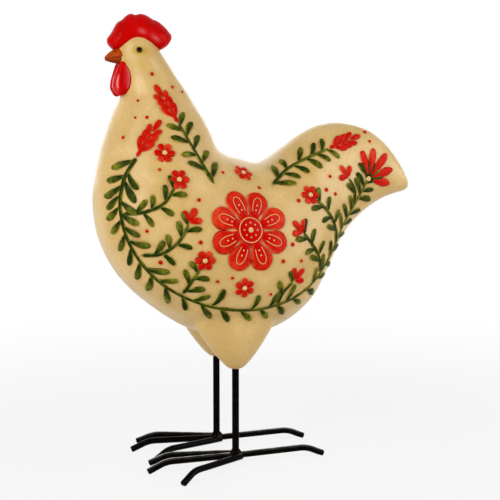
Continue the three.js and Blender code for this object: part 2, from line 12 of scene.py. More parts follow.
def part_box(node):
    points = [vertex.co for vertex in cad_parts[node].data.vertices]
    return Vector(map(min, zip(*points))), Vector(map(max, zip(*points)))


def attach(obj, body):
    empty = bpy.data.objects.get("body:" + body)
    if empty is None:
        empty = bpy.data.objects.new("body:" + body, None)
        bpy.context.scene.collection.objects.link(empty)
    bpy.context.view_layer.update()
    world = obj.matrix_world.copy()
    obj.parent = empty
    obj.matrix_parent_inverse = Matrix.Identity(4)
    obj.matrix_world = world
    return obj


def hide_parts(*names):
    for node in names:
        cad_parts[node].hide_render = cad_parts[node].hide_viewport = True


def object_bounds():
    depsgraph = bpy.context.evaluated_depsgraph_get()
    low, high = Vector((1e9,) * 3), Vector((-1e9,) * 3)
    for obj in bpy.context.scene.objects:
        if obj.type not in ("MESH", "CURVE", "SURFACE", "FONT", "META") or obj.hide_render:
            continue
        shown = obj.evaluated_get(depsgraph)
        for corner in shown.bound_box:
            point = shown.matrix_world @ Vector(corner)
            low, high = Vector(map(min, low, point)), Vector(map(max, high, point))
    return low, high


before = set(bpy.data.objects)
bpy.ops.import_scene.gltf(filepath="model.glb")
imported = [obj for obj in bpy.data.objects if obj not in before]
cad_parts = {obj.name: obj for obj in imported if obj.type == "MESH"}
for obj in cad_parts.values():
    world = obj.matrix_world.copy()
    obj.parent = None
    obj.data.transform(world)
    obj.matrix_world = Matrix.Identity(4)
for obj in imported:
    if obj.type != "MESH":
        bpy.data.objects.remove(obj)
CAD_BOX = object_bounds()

bl_info = {
    "name": "Painted hen",
    "version": (1, 0, 0),
    "blender": (4, 5, 0),
    "location": "View3D > Sidebar > Hen",
    "description": "Models the cast body, relief, head pieces and wire feet of a hen ornament",
    "category": "Object",
}

MM = 0.001
SIDES = {"left": -1, "right": 1}
UP = Vector((0, 0, 1))

# Places that the frame gives

ROD_BOXES = {side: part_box(f"{side}_leg_rod") for side in SIDES}
ROD_AXES = {side: (low + high) / 2 for side, (low, high) in ROD_BOXES.items()}
FEET = {side: Vector((axis.x, axis.y, 0)) for side, axis in ROD_AXES.items()}
EYES = {side: sum(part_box(f"{side}_eye"), Vector()) / 2 for side in SIDES}
LEG_LINE = (FEET["left"] + FEET["right"]) / 2
THIGH_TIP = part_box("body_casting")[0].z


def place(x, y, z):
    """A point of the cast pieces: x from the leg rods, y from the middle plane, z from the thighs' tips."""
    return Vector((LEG_LINE.x + x * MM, LEG_LINE.y + y * MM, THIGH_TIP + z * MM))


# Rings of the cast forms: x and z of the back or top edge, of the front or bottom edge, and half the width

CROWN = (-64, 239)
TAIL_CORNER = (144.5, 128.5)
BODY_RINGS = (
    (-58, 237.5, -68.5, 236.5, 5.5),
    (-53.5, 232.5, -74, 231, 10),
    (-49, 225, -77.5, 223.5, 13),
    (-43.5, 216.5, -77, 214.5, 15),
    (-37.5, 207, -73.5, 204, 17),
    (-30, 196.5, -75, 192, 20.5),
    (-23.5, 186, -81, 178, 26.5),
    (-16.3, 174.5, -87.5, 160, 33.5),
    (-11, 163.5, -92.5, 139, 40.5),
    (-7, 155, -95, 117, 46.5),
    (-0.5, 150.5, -91, 91, 51),
    (7, 148.3, -77, 64.5, 54),
    (14.5, 146.3, -51.5, 41, 55),
    (22, 145, -23, 24.5, 54),
    (28, 146, 8, 20.5, 52),
    (35, 149.8, 37, 26, 47.5),
    (44, 156.2, 60.5, 42, 41),
    (55, 164.2, 75, 65, 34),
    (67, 170.7, 86, 86, 27),
    (82, 174, 97.5, 100, 21),
    (97, 173, 111, 111, 17),
    (111.5, 168.5, 123.5, 118, 14),
    (124, 159.5, 134, 121.5, 11.5),
    (134.5, 146.5, 141, 123.3, 9.5),
    (141, 134.5, 143.8, 125, 6.5),
)
BACK_TAPER = 0.1
PLUG_RING = 14.9

COMB_FRONT = (-84.4, 228.5)
COMB_BACK = (-39, 231)
COMB_RINGS = (
    (-83, 231.5, -83, 225, 4.5),
    (-80, 236.5, -80, 222.5, 8),
    (-77.2, 241, -76, 222.5, 10),
    (-73, 244.3, -71.5, 223.5, 10.8),
    (-68.5, 247.2, -67.5, 224.5, 11.2),
    (-64, 247.4, -63.5, 225, 11.2),
    (-59.5, 247.4, -60, 225, 11),
    (-53, 245.2, -55, 224, 10.4),
    (-47.5, 242, -50.5, 223, 9.8),
    (-43.5, 238.8, -47, 223, 8.8),
    (-40.2, 235, -43, 225.3, 6),
)
COMB_TAPER = 0.28

BEAK_TIP = (-86.1, 216.4)
BEAK_ROOT = (-69, 218.5)
BEAK_RINGS = (
    (-85.7, 217.9, -85.5, 214.9, 1.7),
    (-83.2, 220.4, -82.8, 214, 3.5),
    (-79.5, 222.9, -79, 213.2, 5.8),
    (-75.5, 224.2, -75.5, 212.7, 8),
    (-71, 224, -71, 213, 8.4),
)

WATTLE_TOP = (-75.3, 214.2)
WATTLE_END = (-76.5, 190.9)
WATTLE_RINGS = (
    (-72.6, 212.9, -77.6, 212.4, 2.6),
    (-70, 207.5, -79.6, 206.5, 3.9),
    (-68.9, 201.9, -81.2, 201, 4.6),
    (-69.6, 196.5, -81.4, 196.3, 4.3),
    (-72.6, 192.8, -79.3, 192.3, 3.1),
)

# Swellings of the head: x, distance from the middle plane and z, the reach, and how far each stands out

CHEEK = ((-60, 13, 215.5), 6.5, 1.5)
BROW = ((-68, 11, 227.5), 5.5, 0.7)

# Layout of the ornament on the flank, as x and z seen straight from the side

GARLAND = (
    (-72, 149), (-80, 135), (-83, 116), (-77, 91), (-58, 66), (-26, 49),
    (12, 45), (46, 55), (69, 77), (84, 102), (95, 118), (104, 133),
)
BACK_VINE = ((24, 129), (38, 140), (56, 149), (72, 155))
NECK_VINE = ((-21, 131), (-29, 147), (-36, 160), (-42, 172))
BERRY_SPRIGS = (
    ((-71, 84), (-58, 86), (-47, 95), (-41, 106)),
    ((60, 67), (57, 79), (50, 89), (43, 97)),
    ((92, 114), (92, 125), (86, 134)),
    ((24, 47), (28, 56), (36, 64)),
)
DAISY_SPRIGS = (
    ((-82, 112), (-70, 113), (-57, 119), (-49, 130)),
    ((-43, 57), (-38, 67), (-33, 76)),
    ((76, 88), (72, 101), (64, 112), (56, 119)),
)
DAISIES = ((-54, 152), (4, 138), (-2, 61))
BLOOM = (2, 100)

# Settings


def paint(red, green, blue):
    """A colour in linear light from its values on the 0 to 255 scale of a screen."""
    levels = [value / 255 for value in (red, green, blue)]
    return [level / 12.92 if level <= 0.04045 else ((level + 0.055) / 1.055) ** 2.4 for level in levels]


def length_setting(name, description, default):
    """A length in millimetres."""
    return FloatProperty(
        name=name, description=description, default=default, soft_max=500, subtype="DISTANCE_CAMERA"
    )


def share_setting(name, description, default):
    return FloatProperty(name=name, description=description, default=default, min=0, max=1, subtype="FACTOR")


def colour_setting(name, description, *screen):
    return FloatVectorProperty(
        name=name, description=description, subtype="COLOR", default=paint(*screen), min=0, max=1
    )


class HenBodySizes(bpy.types.PropertyGroup):
    """Sizes of the cast body and of the pieces set into its head."""

    voxel: length_setting("Skin detail", "Edge of the cells that fuse body and thighs into one skin", 1.2)
    skin_easing: IntProperty(
        name="Skin easing", description="Rounds of smoothing on the fused skin", default=12, min=0
    )
    thigh_lip: length_setting("Thigh lip", "Radius of the thigh's lower tip", 4.3)
    thigh_length: length_setting("Thigh length", "Along the hen, at the thigh's height", 62)
    thigh_breadth: length_setting("Thigh breadth", "Across the hen, at the thigh's height", 38)
    thigh_height: length_setting("Thigh height", "Tip of the thigh to where it is measured", 34)
    thigh_root: length_setting("Thigh root", "How far up the thigh reaches inside the body", 48)
    thigh_lean: length_setting("Thigh lean", "How far the root leans in under the body", 7)
    thigh_swell: share_setting("Thigh swell", "1 for a straight cone, less for a fuller thigh", 0.8)
    plug_diameter: length_setting("Plug diameter", "Disc that closes the pour hole", 18)
    plug_thickness: length_setting("Plug thickness", "Thickness of that disc", 3)
    plug_recess: length_setting("Plug recess", "Depth of the plug's face below the belly", 1.2)
    plug_gap: length_setting("Plug gap", "Glue line round the plug", 0.3)
    wattle_spread: length_setting("Wattle spread", "Middle plane to the middle of a wattle", 7.2)
    wattle_turn: share_setting("Wattle turn", "Share of its depth by which its back edge turns out", 0.25)
    eye_radius: length_setting("Eye radius", "Radius of the bead", 2.3)
    eye_crown: length_setting("Eye crown", "How far the bead stands out", 1.6)


class HenFootSizes(bpy.types.PropertyGroup):
    """Sizes of the legs and feet of bent wire."""

    rod: length_setting("Leg rod", "Diameter of the leg rod", 5)
    wire: length_setting("Toe wire", "Diameter of the toe wire", 4.6)
    ankle: length_setting("Ankle level", "Ground to the wire's axis at the rod", 6.2)
    bend: length_setting("Bend level", "Ground to the wire's axis at its bend", 7.2)
    tip: length_setting("Tip level", "Ground to the wire's axis at its tip", 1.5)
    ease: length_setting("Bend ease", "Rounded length on either side of the bend", 5)
    toe_tip: length_setting("Toe tip", "Length of the bent tip from above", 13)
    side_reach: length_setting("Side toe reach", "Rod to the tip of an outer or inner toe", 61.5)
    middle_reach: length_setting("Middle toe reach", "Rod to the tip of the middle toe", 65)
    gap: length_setting("Weld gap", "Gap between rod and toe", 0.3)
    weld_radius: length_setting("Weld radius", "Radius of the weld bead", 4.6)
    weld_rise: length_setting("Weld rise", "Height of the weld bead above the toe wires", 2.4)


class HenReliefSizes(bpy.types.PropertyGroup):
    """Sizes of the raised ornament."""

    leaf_length: length_setting("Leaf length", "Length of a leaf on the garland", 17)
    leaf_width: length_setting("Leaf width", "Half the width of a leaf", 2.7)
    leaf_gap: length_setting("Leaf gap", "Spacing of the leaves along a stem", 5)
    stem_width: length_setting("Stem width", "Half the width of a stem", 1.5)
    rise: length_setting("Relief height", "How far leaves and petals stand out", 1.1)
    bloom_radius: length_setting("Bloom radius", "Radius of the large blossom on the wing", 29)
    daisy_radius: length_setting("Daisy radius", "Radius of the small blossoms", 7)
    dot_radius: length_setting("Dot radius", "Radius of the small dots", 1.2)


class HenPaints(bpy.types.PropertyGroup):
    """Colours of the paints."""

    cream: colour_setting("Cream", "Main paint of the body", 232, 197, 132)
    # Deep cream: also the dark rim round the cream strokes, partly painted shade in their corners
    cream_deep_and_shade: colour_setting("Deep cream", "Patches where the body's paint is thinner", 218, 180, 111)
    # Golden: also the tone of head and thighs; its strength close to the relief is partly painted shade between
    # the forms
    golden: colour_setting("Golden wash", "Wash between the leaves", 203, 166, 90)
    # Tan line: painted shade in the corner round the relief, laid on as a wash
    wash_and_shade: colour_setting("Tan line", "Wash left in the corner round the relief", 178, 120, 62)
    leaf: colour_setting("Leaf green", "Paint of the leaves' backs", 14, 40, 0)
    leaf_edge: colour_setting("Leaf edge", "Thin paint on the leaves' edges and tips", 130, 134, 30)
    leaf_rim: colour_setting("Leaf rim", "Bare resin at the leaves' rims", 206, 182, 110)
    # Leaf outline: partly dark paint, partly painted shade in the corner round the leaves
    leaf_outline_and_shade: colour_setting("Leaf outline", "Dark paint in the corner round the leaves", 44, 40, 8)
    red: colour_setting("Blossom red", "Paint of blossoms and buds", 202, 4, 0)
    red_thin: colour_setting("Thin red", "Thin paint on the edges and tips of red strokes", 232, 66, 32)
    red_rim: colour_setting("Red rim", "Bare resin at the rims of red strokes", 224, 140, 96)
    # Deep red: painted shade in the folds of comb and wattles, and partly painted shade in the dark rim round
    # red strokes
    red_deep_and_shade: colour_setting("Deep red", "Paint in the hollows of the red pieces", 150, 2, 1)
    comb: colour_setting("Comb red", "Paint of comb and wattles", 210, 3, 1)
    beak: colour_setting("Beak orange", "Paint of the beak", 188, 76, 10)
    # Beak brown: the mouth line, and painted shade on the underside below it
    beak_line_and_shade: colour_setting("Beak brown", "Mouth line and underside of the beak", 106, 34, 10)
    lid: colour_setting("Lid olive", "Paint round the eyes", 200, 165, 52)
    iris: colour_setting("Iris brown", "Ring round the pupil", 96, 62, 22)
    eye: colour_setting("Eye black", "Glossy bead of the eye", 8, 5, 4)
    eye_worn: colour_setting("Eye brown", "Faint patches on the pupil", 26, 16, 10)
    wire: colour_setting("Wire black", "Paint of legs and feet", 5, 3, 2)
    wire_worn: colour_setting("Wire brown", "Worn patches on the wire", 20, 12, 8)
    floor: colour_setting("Floor", "Plain pale floor", 216, 216, 214)
    floor_light: colour_setting("Floor patches", "Slightly lighter patches of the floor", 222, 222, 220)


# Curves and forms


def spline(points, t):
    """The point at t, from 0 to 1, on a centripetal Catmull-Rom curve through the points."""
    last = len(points) - 1
    i = min(int(t * last), last - 1)
    u = t * last - i
    p1, p2 = points[i], points[i + 1]
    p0 = points[i - 1] if i else 2 * p1 - p2
    p3 = points[i + 2] if i + 2 <= last else 2 * p2 - p1
    d0, d1, d2 = (math.sqrt((b - a).length) for a, b in ((p0, p1), (p1, p2), (p2, p3)))
    m1 = ((p1 - p0) / d0 - (p2 - p0) / (d0 + d1) + (p2 - p1) / d1) * d1
    m2 = ((p2 - p1) / d1 - (p3 - p1) / (d1 + d2) + (p3 - p2) / d2) * d1
    return p1 + m1 * u + (3 * (p2 - p1) - 2 * m1 - m2) * u**2 + (2 * (p1 - p2) + m1 + m2) * u**3


def ease(value):
    """A smooth step from 0 to 1."""
    value = min(max(value, 0.0), 1.0)
    return value * value * (3 - 2 * value)


def hill(away, reach):
    """1 in the middle, falling off smoothly over the reach."""
    return math.exp(-((away / reach) ** 2))


def club(t, foot, swell, shoulder):
    """The width along a club: a share at its foot, full from its swell, round past its shoulder."""
    tip = math.sqrt(max(1 - ((t - shoulder) / (1 - shoulder)) ** 2, 0)) if t > shoulder else 1
    return (foot + (1 - foot) * ease(t / swell)) * tip


def uneven(count, low=0.0, high=1.0):
    """One of a fixed run of uneven values between two limits."""
    value = math.sin(count * 12.9898) * 43758.5453
    return low + (high - low) * (value - math.floor(value))


def even_shares(steps):
    return [step / steps for step in range(steps + 1)]


def swing(heading, normal, degrees):
    """A heading turned about a normal."""
    return Matrix.Rotation(math.radians(degrees), 3, normal) @ heading


def facing(centre, axis):
    """The transform that moves to a centre and turns Z along an axis."""
    return Matrix.Translation(centre) @ axis.to_track_quat("Z", "Y").to_matrix().to_4x4()


class RingForm:
    """A form through oval rings, each given by its two edges in the middle plane and half its width."""

    def __init__(self, rings, ends, taper=0.0):
        self.last = len(rings) - 1
        self.ends = [Vector((x, 0, z)) for x, z in ends]
        self.taper = taper
        self.tops = [Vector(ring[0:2]) for ring in rings]
        self.bottoms = [Vector(ring[2:4]) for ring in rings]
        self.widths = [Vector((index, ring[4])) for index, ring in enumerate(rings)]

    def point(self, ring, angle):
        """The point at an angle from a ring's top or back edge. Round ends lie past the outer rings."""
        inside = min(max(ring, 0), self.last)
        t = inside / self.last
        top = spline(self.tops, t)
        bottom = spline(self.bottoms, t)
        middle = (top + bottom) / 2
        edge = (top - bottom) / 2 * math.cos(angle)
        across = spline(self.widths, t).y * math.sin(angle) * (1 - self.taper * math.cos(angle))
        past = abs(ring - inside) * math.pi / 2
        centre = Vector((middle.x, 0, middle.y)).lerp(self.ends[ring > 0], math.sin(past) ** 2)
        return centre + Vector((edge.x, across, edge.y)) * math.cos(past)

    def pressed(self, ring, angle, depth):
        """A point of the form, pressed in by a share of its way to the ring's middle."""
        middle = (self.point(ring, 0) + self.point(ring, math.pi)) / 2
        return place(*middle.lerp(self.point(ring, angle), 1 - depth))

    def stations(self, per_ring):
        return [step / per_ring for step in range(self.last * per_ring + 1)]

    def round_stations(self, per_ring):
        """Stations with those of the round ends."""
        return [step / per_ring for step in range(1 - per_ring, (self.last + 1) * per_ring)]

    def poles(self):
        return [place(*end) for end in self.ends]


BODY = RingForm(BODY_RINGS, (CROWN, TAIL_CORNER), BACK_TAPER)
COMB = RingForm(COMB_RINGS, (COMB_FRONT, COMB_BACK), COMB_TAPER)
BEAK = RingForm(BEAK_RINGS, (BEAK_TIP, BEAK_ROOT))
WATTLE = RingForm(WATTLE_RINGS, (WATTLE_TOP, WATTLE_END))


def loft(bm, ring_point, stations, sides, poles, **looks):
    """A closed skin through rings of points, drawn to a pole at either end.

    Each look gives the vertices a value by their station and the angle round their ring.
    """
    layers = {name: bm.verts.layers.float.new(name) for name in looks}
    rings = len(stations) + 1
    for vert in bmesh.ops.create_uvsphere(bm, u_segments=sides, v_segments=rings, radius=1)["verts"]:
        row = round(math.acos(min(max(vert.co.z, -1), 1)) / math.pi * rings)
        station = stations[min(max(row - 1, 0), rings - 2)]
        angle = math.atan2(vert.co.y, vert.co.x) % (2 * math.pi)
        vert.co = poles[row // rings] if row in (0, rings) else ring_point(station, angle)
        for name, layer in layers.items():
            vert[layer] = looks[name](station, angle)


def link_mesh(bm, name):
    """A new object in the scene from the bmesh, with its faces pointing out."""
    bmesh.ops.recalc_face_normals(bm, faces=bm.faces)
    mesh = bpy.data.meshes.new(name)
    bm.to_mesh(mesh)
    bm.free()
    piece = bpy.data.objects.new(name, mesh)
    bpy.context.scene.collection.objects.link(piece)
    return piece


def dress(piece, material, slot, *nodes):
    """Finishes a piece: its paint, the body it rides on and the nodes that it stands for."""
    piece.data.materials.append(material)
    piece.data.shade_smooth()
    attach(piece, "root")
    if nodes:
        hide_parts(*nodes)


def skin_of(name):
    """The surface of a finished piece, for seating things on it."""
    return BVHTree.FromObject(bpy.data.objects[name], bpy.context.evaluated_depsgraph_get())


def mark(piece, name, values):
    """Keeps a number for each vertex of a piece, for its paint to read."""
    piece.data.attributes.new(name, "FLOAT", "POINT").data.foreach_set("value", values)


# Finishes


class Finish:
    """A node material with one Principled shader, built up from noise, attributes and mixes."""

    def __init__(self, name):
        self.material = bpy.data.materials.new(name)
        self.material.use_nodes = True
        self.nodes = self.material.node_tree.nodes
        self.links = self.material.node_tree.links
        self.shader = self.nodes["Principled BSDF"]
        self.object_place = self.nodes.new("ShaderNodeTexCoord").outputs["Object"]

    def put(self, socket, value):
        if isinstance(value, bpy.types.NodeSocket):
            self.links.new(value, socket)
        else:
            socket.default_value = value

    def shade(self, **values):
        """Sets the shader's sockets, with underscores for the spaces in their names."""
        for name, value in values.items():
            self.put(self.shader.inputs[name.replace("_", " ")], value)

    def noise(self, scale, detail=2.0, low=0.3, high=0.7):
        """Noise on the piece's own place, spread to 0 to 1 between two levels."""
        node = self.nodes.new("ShaderNodeTexNoise")
        self.put(node.inputs["Vector"], self.object_place)
        node.inputs["Scale"].default_value = scale
        node.inputs["Detail"].default_value = detail
        return self.spread(node.outputs["Fac"], low, high)

    def height(self):
        """Height above the ground, in metres."""
        node = self.nodes.new("ShaderNodeSeparateXYZ")
        self.put(node.inputs["Vector"], self.object_place)
        return node.outputs["Z"]

    def attribute(self, name):
        node = self.nodes.new("ShaderNodeAttribute")
        node.attribute_name = name
        return node.outputs["Fac"]

    def spread(self, value, low, high, to_low=0.0, to_high=1.0):
        """A value between two levels, eased to between two others."""
        node = self.nodes.new("ShaderNodeMapRange")
        node.interpolation_type = "SMOOTHSTEP"
        self.put(node.inputs["Value"], value)
        levels = {"From Min": low, "From Max": high, "To Min": to_low, "To Max": to_high}
        for name, level in levels.items():
            node.inputs[name].default_value = level
        return node.outputs["Result"]

    def maths(self, operation, first, second):
        node = self.nodes.new("ShaderNodeMath")
        node.operation = operation
        self.put(node.inputs[0], first)
        self.put(node.inputs[1], second)
        return node.outputs["Value"]

    def broken(self, value, noise, low, high=1.0):
        """A value broken up by noise, from a low share of it to a high one."""
        return self.maths("MULTIPLY", value, self.spread(noise, 0, 1, low, high))

    def folds(self, noise, share):
        """The marked folds of a piece, with a share of noise between them."""
        return self.maths("MAXIMUM", self.attribute("fold"), self.maths("MULTIPLY", noise, share))

    def mix(self, factor, first, second):
        """A mix of two colours, each a linear colour or another node's colour."""
        node = self.nodes.new("ShaderNodeMix")
        node.data_type = "RGBA"
        factor_in, first_in, second_in = (node.inputs[index] for index in (0, 6, 7))
        self.put(factor_in, factor)
        for socket, colour in ((first_in, first), (second_in, second)):
            self.put(socket, colour if isinstance(colour, bpy.types.NodeSocket) else (*colour, 1.0))
        return node.outputs[2]

    def bump(self, scale, detail, distance, under=None):
        """A normal with small hills of noise, of the given height in millimetres."""
        node = self.nodes.new("ShaderNodeBump")
        node.inputs["Distance"].default_value = distance * MM
        self.put(node.inputs["Height"], self.noise(scale, detail, 0, 1))
        if under:
            self.put(node.inputs["Normal"], under)
        return node.outputs["Normal"]

    def gloss(self, level, low, high, scale=120):
        """Uneven gloss: the level of its shine, and its roughness between two values."""
        self.shade(Specular_IOR_Level=level, Roughness=self.spread(self.noise(scale, 3), 0, 1, low, high))


# Heights in metres at which the golden tone, darker towards the bottom, ends on the thighs, and at which the
# golden wash of the head starts

THIGH_GOLDEN = (0.075, 0.125)
HEAD_WASH = (0.265, 0.295)


def cream_resin(paints):
    """Varnished cream paint: mottled, golden on the head, golden and darker towards the bottom over the thighs,
    golden between the leaves and tan round the relief, darkest close to it: a wash that is also painted shade
    in the corners.
    """
    finish = Finish("cream_resin")
    colour = finish.mix(finish.noise(38, 3), paints.cream, paints.cream_deep_and_shade)
    speckle = finish.spread(finish.noise(430, 3, 0.35, 0.75), 0, 1, 0, 0.35)
    colour = finish.mix(speckle, colour, paints.golden)
    height = finish.height()
    # Golden and darker towards the bottom, over the thighs
    thighs = finish.spread(height, *THIGH_GOLDEN, 0.45, 0)
    head = finish.spread(height, *HEAD_WASH, 0, 0.55)
    colour = finish.mix(finish.maths("ADD", thighs, head), colour, paints.golden)
    breakup = finish.noise(120, 4, 0.25, 0.75)
    gap = finish.attribute("relief_gap")
    # Golden between the leaves and a tan line close round the relief are a wash that is also painted shade in
    # the corners; then the olive round the eyes
    washes = (
        (finish.spread(gap, 0.5, 9, 0.5, 0), 0.6, paints.golden),
        (finish.spread(gap, 0.2, 1.3, 0.6, 0), 0.1, paints.wash_and_shade),
        (finish.attribute("lid"), 0.7, paints.lid),
    )
    for strength, low, wash_and_shade in washes:
        colour = finish.mix(finish.broken(strength, breakup, low), colour, wash_and_shade)
    waves = finish.bump(55, 2, 0.4)
    finish.shade(Base_Color=colour, Normal=finish.bump(900, 2, 0.02, waves))
    finish.gloss(0.36, 0.28, 0.38, 90)
    return finish.material


def stroke_paint(name, back, edge, rim, line):
    """Brushed paint on the relief: full on a stroke's back, thin at edge and tip, bare or dark at its rim; the
    dark rim is partly a painted outline and partly painted shade in the corner.
    """
    finish = Finish(name)
    crest = finish.attribute("crest")
    streaks = finish.noise(260, 3)
    thin = finish.broken(finish.spread(crest, 0.5, 0.97, 0.9, 0), streaks, 0.2)
    to_tip = finish.spread(finish.attribute("along"), 0.2, 0.9)
    tip = finish.broken(finish.maths("MULTIPLY", to_tip, finish.attribute("tone")), streaks, 0.45, 1.2)
    colour = finish.mix(finish.maths("MAXIMUM", thin, tip), back, edge)
    # Dark rim in patches: partly a painted outline, partly painted shade in the corner round the stroke
    border = finish.mix(finish.noise(70, 3, 0.45, 0.6), rim, line)
    colour = finish.mix(finish.spread(crest, 0.1, 0.62, 0.95, 0), colour, border)
    finish.shade(Base_Color=colour, Normal=finish.bump(420, 2, 0.05))
    finish.gloss(0.035, 0.2, 0.32)
    return finish.material


def comb_paint(paints):
    """Glossy red with painted shade in the folds as deeper red, and glossier where the varnish is thick."""
    finish = Finish("comb_paint")
    colour = finish.mix(finish.folds(finish.noise(90, 3), 0.3), paints.comb, paints.red_deep_and_shade)
    finish.shade(Base_Color=colour, Normal=finish.bump(75, 2, 0.3))
    finish.gloss(0.035, 0.14, 0.2)
    finish.shade(Coat_Weight=finish.attribute("varnish"), Coat_IOR=1.85, Coat_Roughness=0.15)
    return finish.material


def beak_paint(paints):
    """Satin orange-brown, darker in the mouth line, with painted shade on the underside, and brushed unevenly.
    """
    finish = Finish("beak_paint")
    colour = finish.mix(finish.folds(finish.noise(330, 3), 0.4), paints.beak, paints.beak_line_and_shade)
    finish.shade(Base_Color=colour, Normal=finish.bump(600, 2, 0.05))
    finish.gloss(0.04, 0.3, 0.45)
    return finish.material


def bead_gloss(paints):
    """Glossy bead: a black pupil in a brown iris and an olive rim."""
    finish = Finish("bead_gloss")
    ring = finish.attribute("ring")
    pupil = finish.mix(finish.noise(500, 2), paints.eye, paints.eye_worn)
    colour = finish.mix(finish.spread(ring, 0.6, 0.74), pupil, paints.iris)
    finish.shade(Base_Color=finish.mix(finish.spread(ring, 0.86, 0.98), colour, paints.lid))
    finish.gloss(0.05, 0.05, 0.1)
    return finish.material


def wire_paint(paints):
    """Satin black-brown paint on steel wire, worn in patches and glossier in runs on its upper side."""
    finish = Finish("wire_paint")
    colour = finish.mix(finish.noise(240, 4, 0.45, 0.8), paints.wire, paints.wire_worn)
    finish.shade(Base_Color=colour, Normal=finish.bump(420, 3, 0.06))
    finish.gloss(0.02, 0.14, 0.22)
    runs = finish.broken(finish.attribute("varnish"), finish.noise(150, 3), 0.45)
    finish.shade(Coat_Weight=runs, Coat_IOR=1.8, Coat_Roughness=0.1)
    return finish.material


# Body


def body_point(ring, angle):
    """The body's rings with the cheeks and brows swelled out."""
    at = BODY.point(ring, angle)
    for (x, y, z), reach, amount in (CHEEK, BROW):
        centre = Vector((x, math.copysign(y, at.y), z))
        at.y += math.copysign(amount * hill((at - centre).length, reach), at.y)
    return place(*at)


def thigh_point(sizes, sign):
    """The rings of a thigh: round at its tip, narrower across than along above, leaning in under the body."""
    foot = sign * (FEET["right"].y - FEET["left"].y) / MM / 2
    swell = sizes.thigh_length / 2 - sizes.thigh_lip

    def point(height, angle):
        rise = height / sizes.thigh_height
        radius = sizes.thigh_lip + swell * rise**sizes.thigh_swell
        squeeze = 1 + (sizes.thigh_breadth / sizes.thigh_length - 1) * math.sqrt(min(rise, 1))
        lean = sign * sizes.thigh_lean * (height / sizes.thigh_root) ** 2
        return place(radius * math.cos(angle), foot - lean + radius * squeeze * math.sin(angle), height)

    return point


def plug_place():
    """Where the pour hole lies on the belly, and the way out of it."""
    step = 0.05
    along = BODY.point(PLUG_RING + step, math.pi) - BODY.point(PLUG_RING - step, math.pi)
    out = Vector((along.z, 0, -along.x)).normalized()
    return place(*BODY.point(PLUG_RING, math.pi)), out if out.z < 0 else -out


def disc(bm, centre, axis, radius, thickness):
    """A round disc whose outer face has its centre at a point, facing along an axis."""
    matrix = facing(centre - axis * thickness / 2, axis)
    bmesh.ops.create_cone(
        bm, cap_ends=True, segments=48, radius1=radius, radius2=radius, depth=thickness, matrix=matrix
    )


class HEN_OT_body(bpy.types.Operator):
    """Models the cast body: head, neck, breast, back, tail and thighs in one skin, with its pour hole"""

    bl_idname = "hen.body"
    bl_label = "Body"

    RING_STEPS = 6
    BODY_SIDES = 96
    THIGH_STEPS = 24
    THIGH_SIDES = 64
    HOLE_DEPTH = 6
    # Paint by an eye: its middle in x and z from the bead, half length and height, reach, sharpness, strength
    LID = (0, 0, 4.6, 2.5, 1.6, 1.6, 0.95)
    PATCH = (-3, -8.5, 8, 3.5, 1.2, 1, 0.4)

    def execute(self, context):
        sizes = context.scene.hen.body
        rough = self.overlapping_forms(sizes)
        cutter = self.pour_hole(sizes)
        fuse = rough.modifiers.new("fuse", "REMESH")
        fuse.mode = "VOXEL"
        fuse.voxel_size = sizes.voxel * MM
        soften = rough.modifiers.new("soften", "SMOOTH")
        soften.iterations = sizes.skin_easing
        bore = rough.modifiers.new("bore", "BOOLEAN")
        bore.operation = "DIFFERENCE"
        bore.solver = "MANIFOLD"
        bore.object = cutter
        skin = bpy.data.meshes.new_from_object(rough.evaluated_get(context.evaluated_depsgraph_get()))
        for helper in (rough, cutter):
            bpy.data.objects.remove(helper)
        skin.name = "body_skin"
        skin.materials.clear()
        piece = bpy.data.objects.new("body_skin", skin)
        context.scene.collection.objects.link(piece)
        mark(piece, "lid", [self.lid_at(vert.co) for vert in skin.vertices])
        dress(piece, cream_resin(context.scene.hen.paints), "painted_resin", "body_casting")
        return {"FINISHED"}

    def overlapping_forms(self, sizes):
        """The body and the two thighs, still running through each other."""
        bm = bmesh.new()
        loft(bm, body_point, BODY.stations(self.RING_STEPS), self.BODY_SIDES, BODY.poles())
        heights = [sizes.thigh_root * share**2 for share in even_shares(self.THIGH_STEPS)]
        for sign in SIDES.values():
            ring_point = thigh_point(sizes, sign)
            levels = (0, sizes.thigh_root)
            ends = [(ring_point(level, 0) + ring_point(level, math.pi)) / 2 for level in levels]
            loft(bm, ring_point, heights, self.THIGH_SIDES, ends)
        return link_mesh(bm, "overlapping_forms")

    def pour_hole(self, sizes):
        """The round tool that cuts the hole, reaching as far out of the belly as into it."""
        bm = bmesh.new()
        seat, out = plug_place()
        depth = self.HOLE_DEPTH * MM
        disc(bm, seat + out * depth, out, (sizes.plug_diameter / 2 + sizes.plug_gap) * MM, 2 * depth)
        return link_mesh(bm, "pour_hole_cutter")

    def lid_at(self, spot):
        """How much of the lid's paint a place has: an almond round each eye, and a fainter patch below it."""
        away = min((spot - eye for eye in EYES.values()), key=lambda gap: gap.length) / MM
        strengths = []
        for x, z, length, height, reach, sharpness, strength in (self.LID, self.PATCH):
            inside = reach - math.hypot((away.x - x) / length, (away.z - z) / height)
            strengths.append(strength * ease(sharpness * inside))
        return max(strengths)


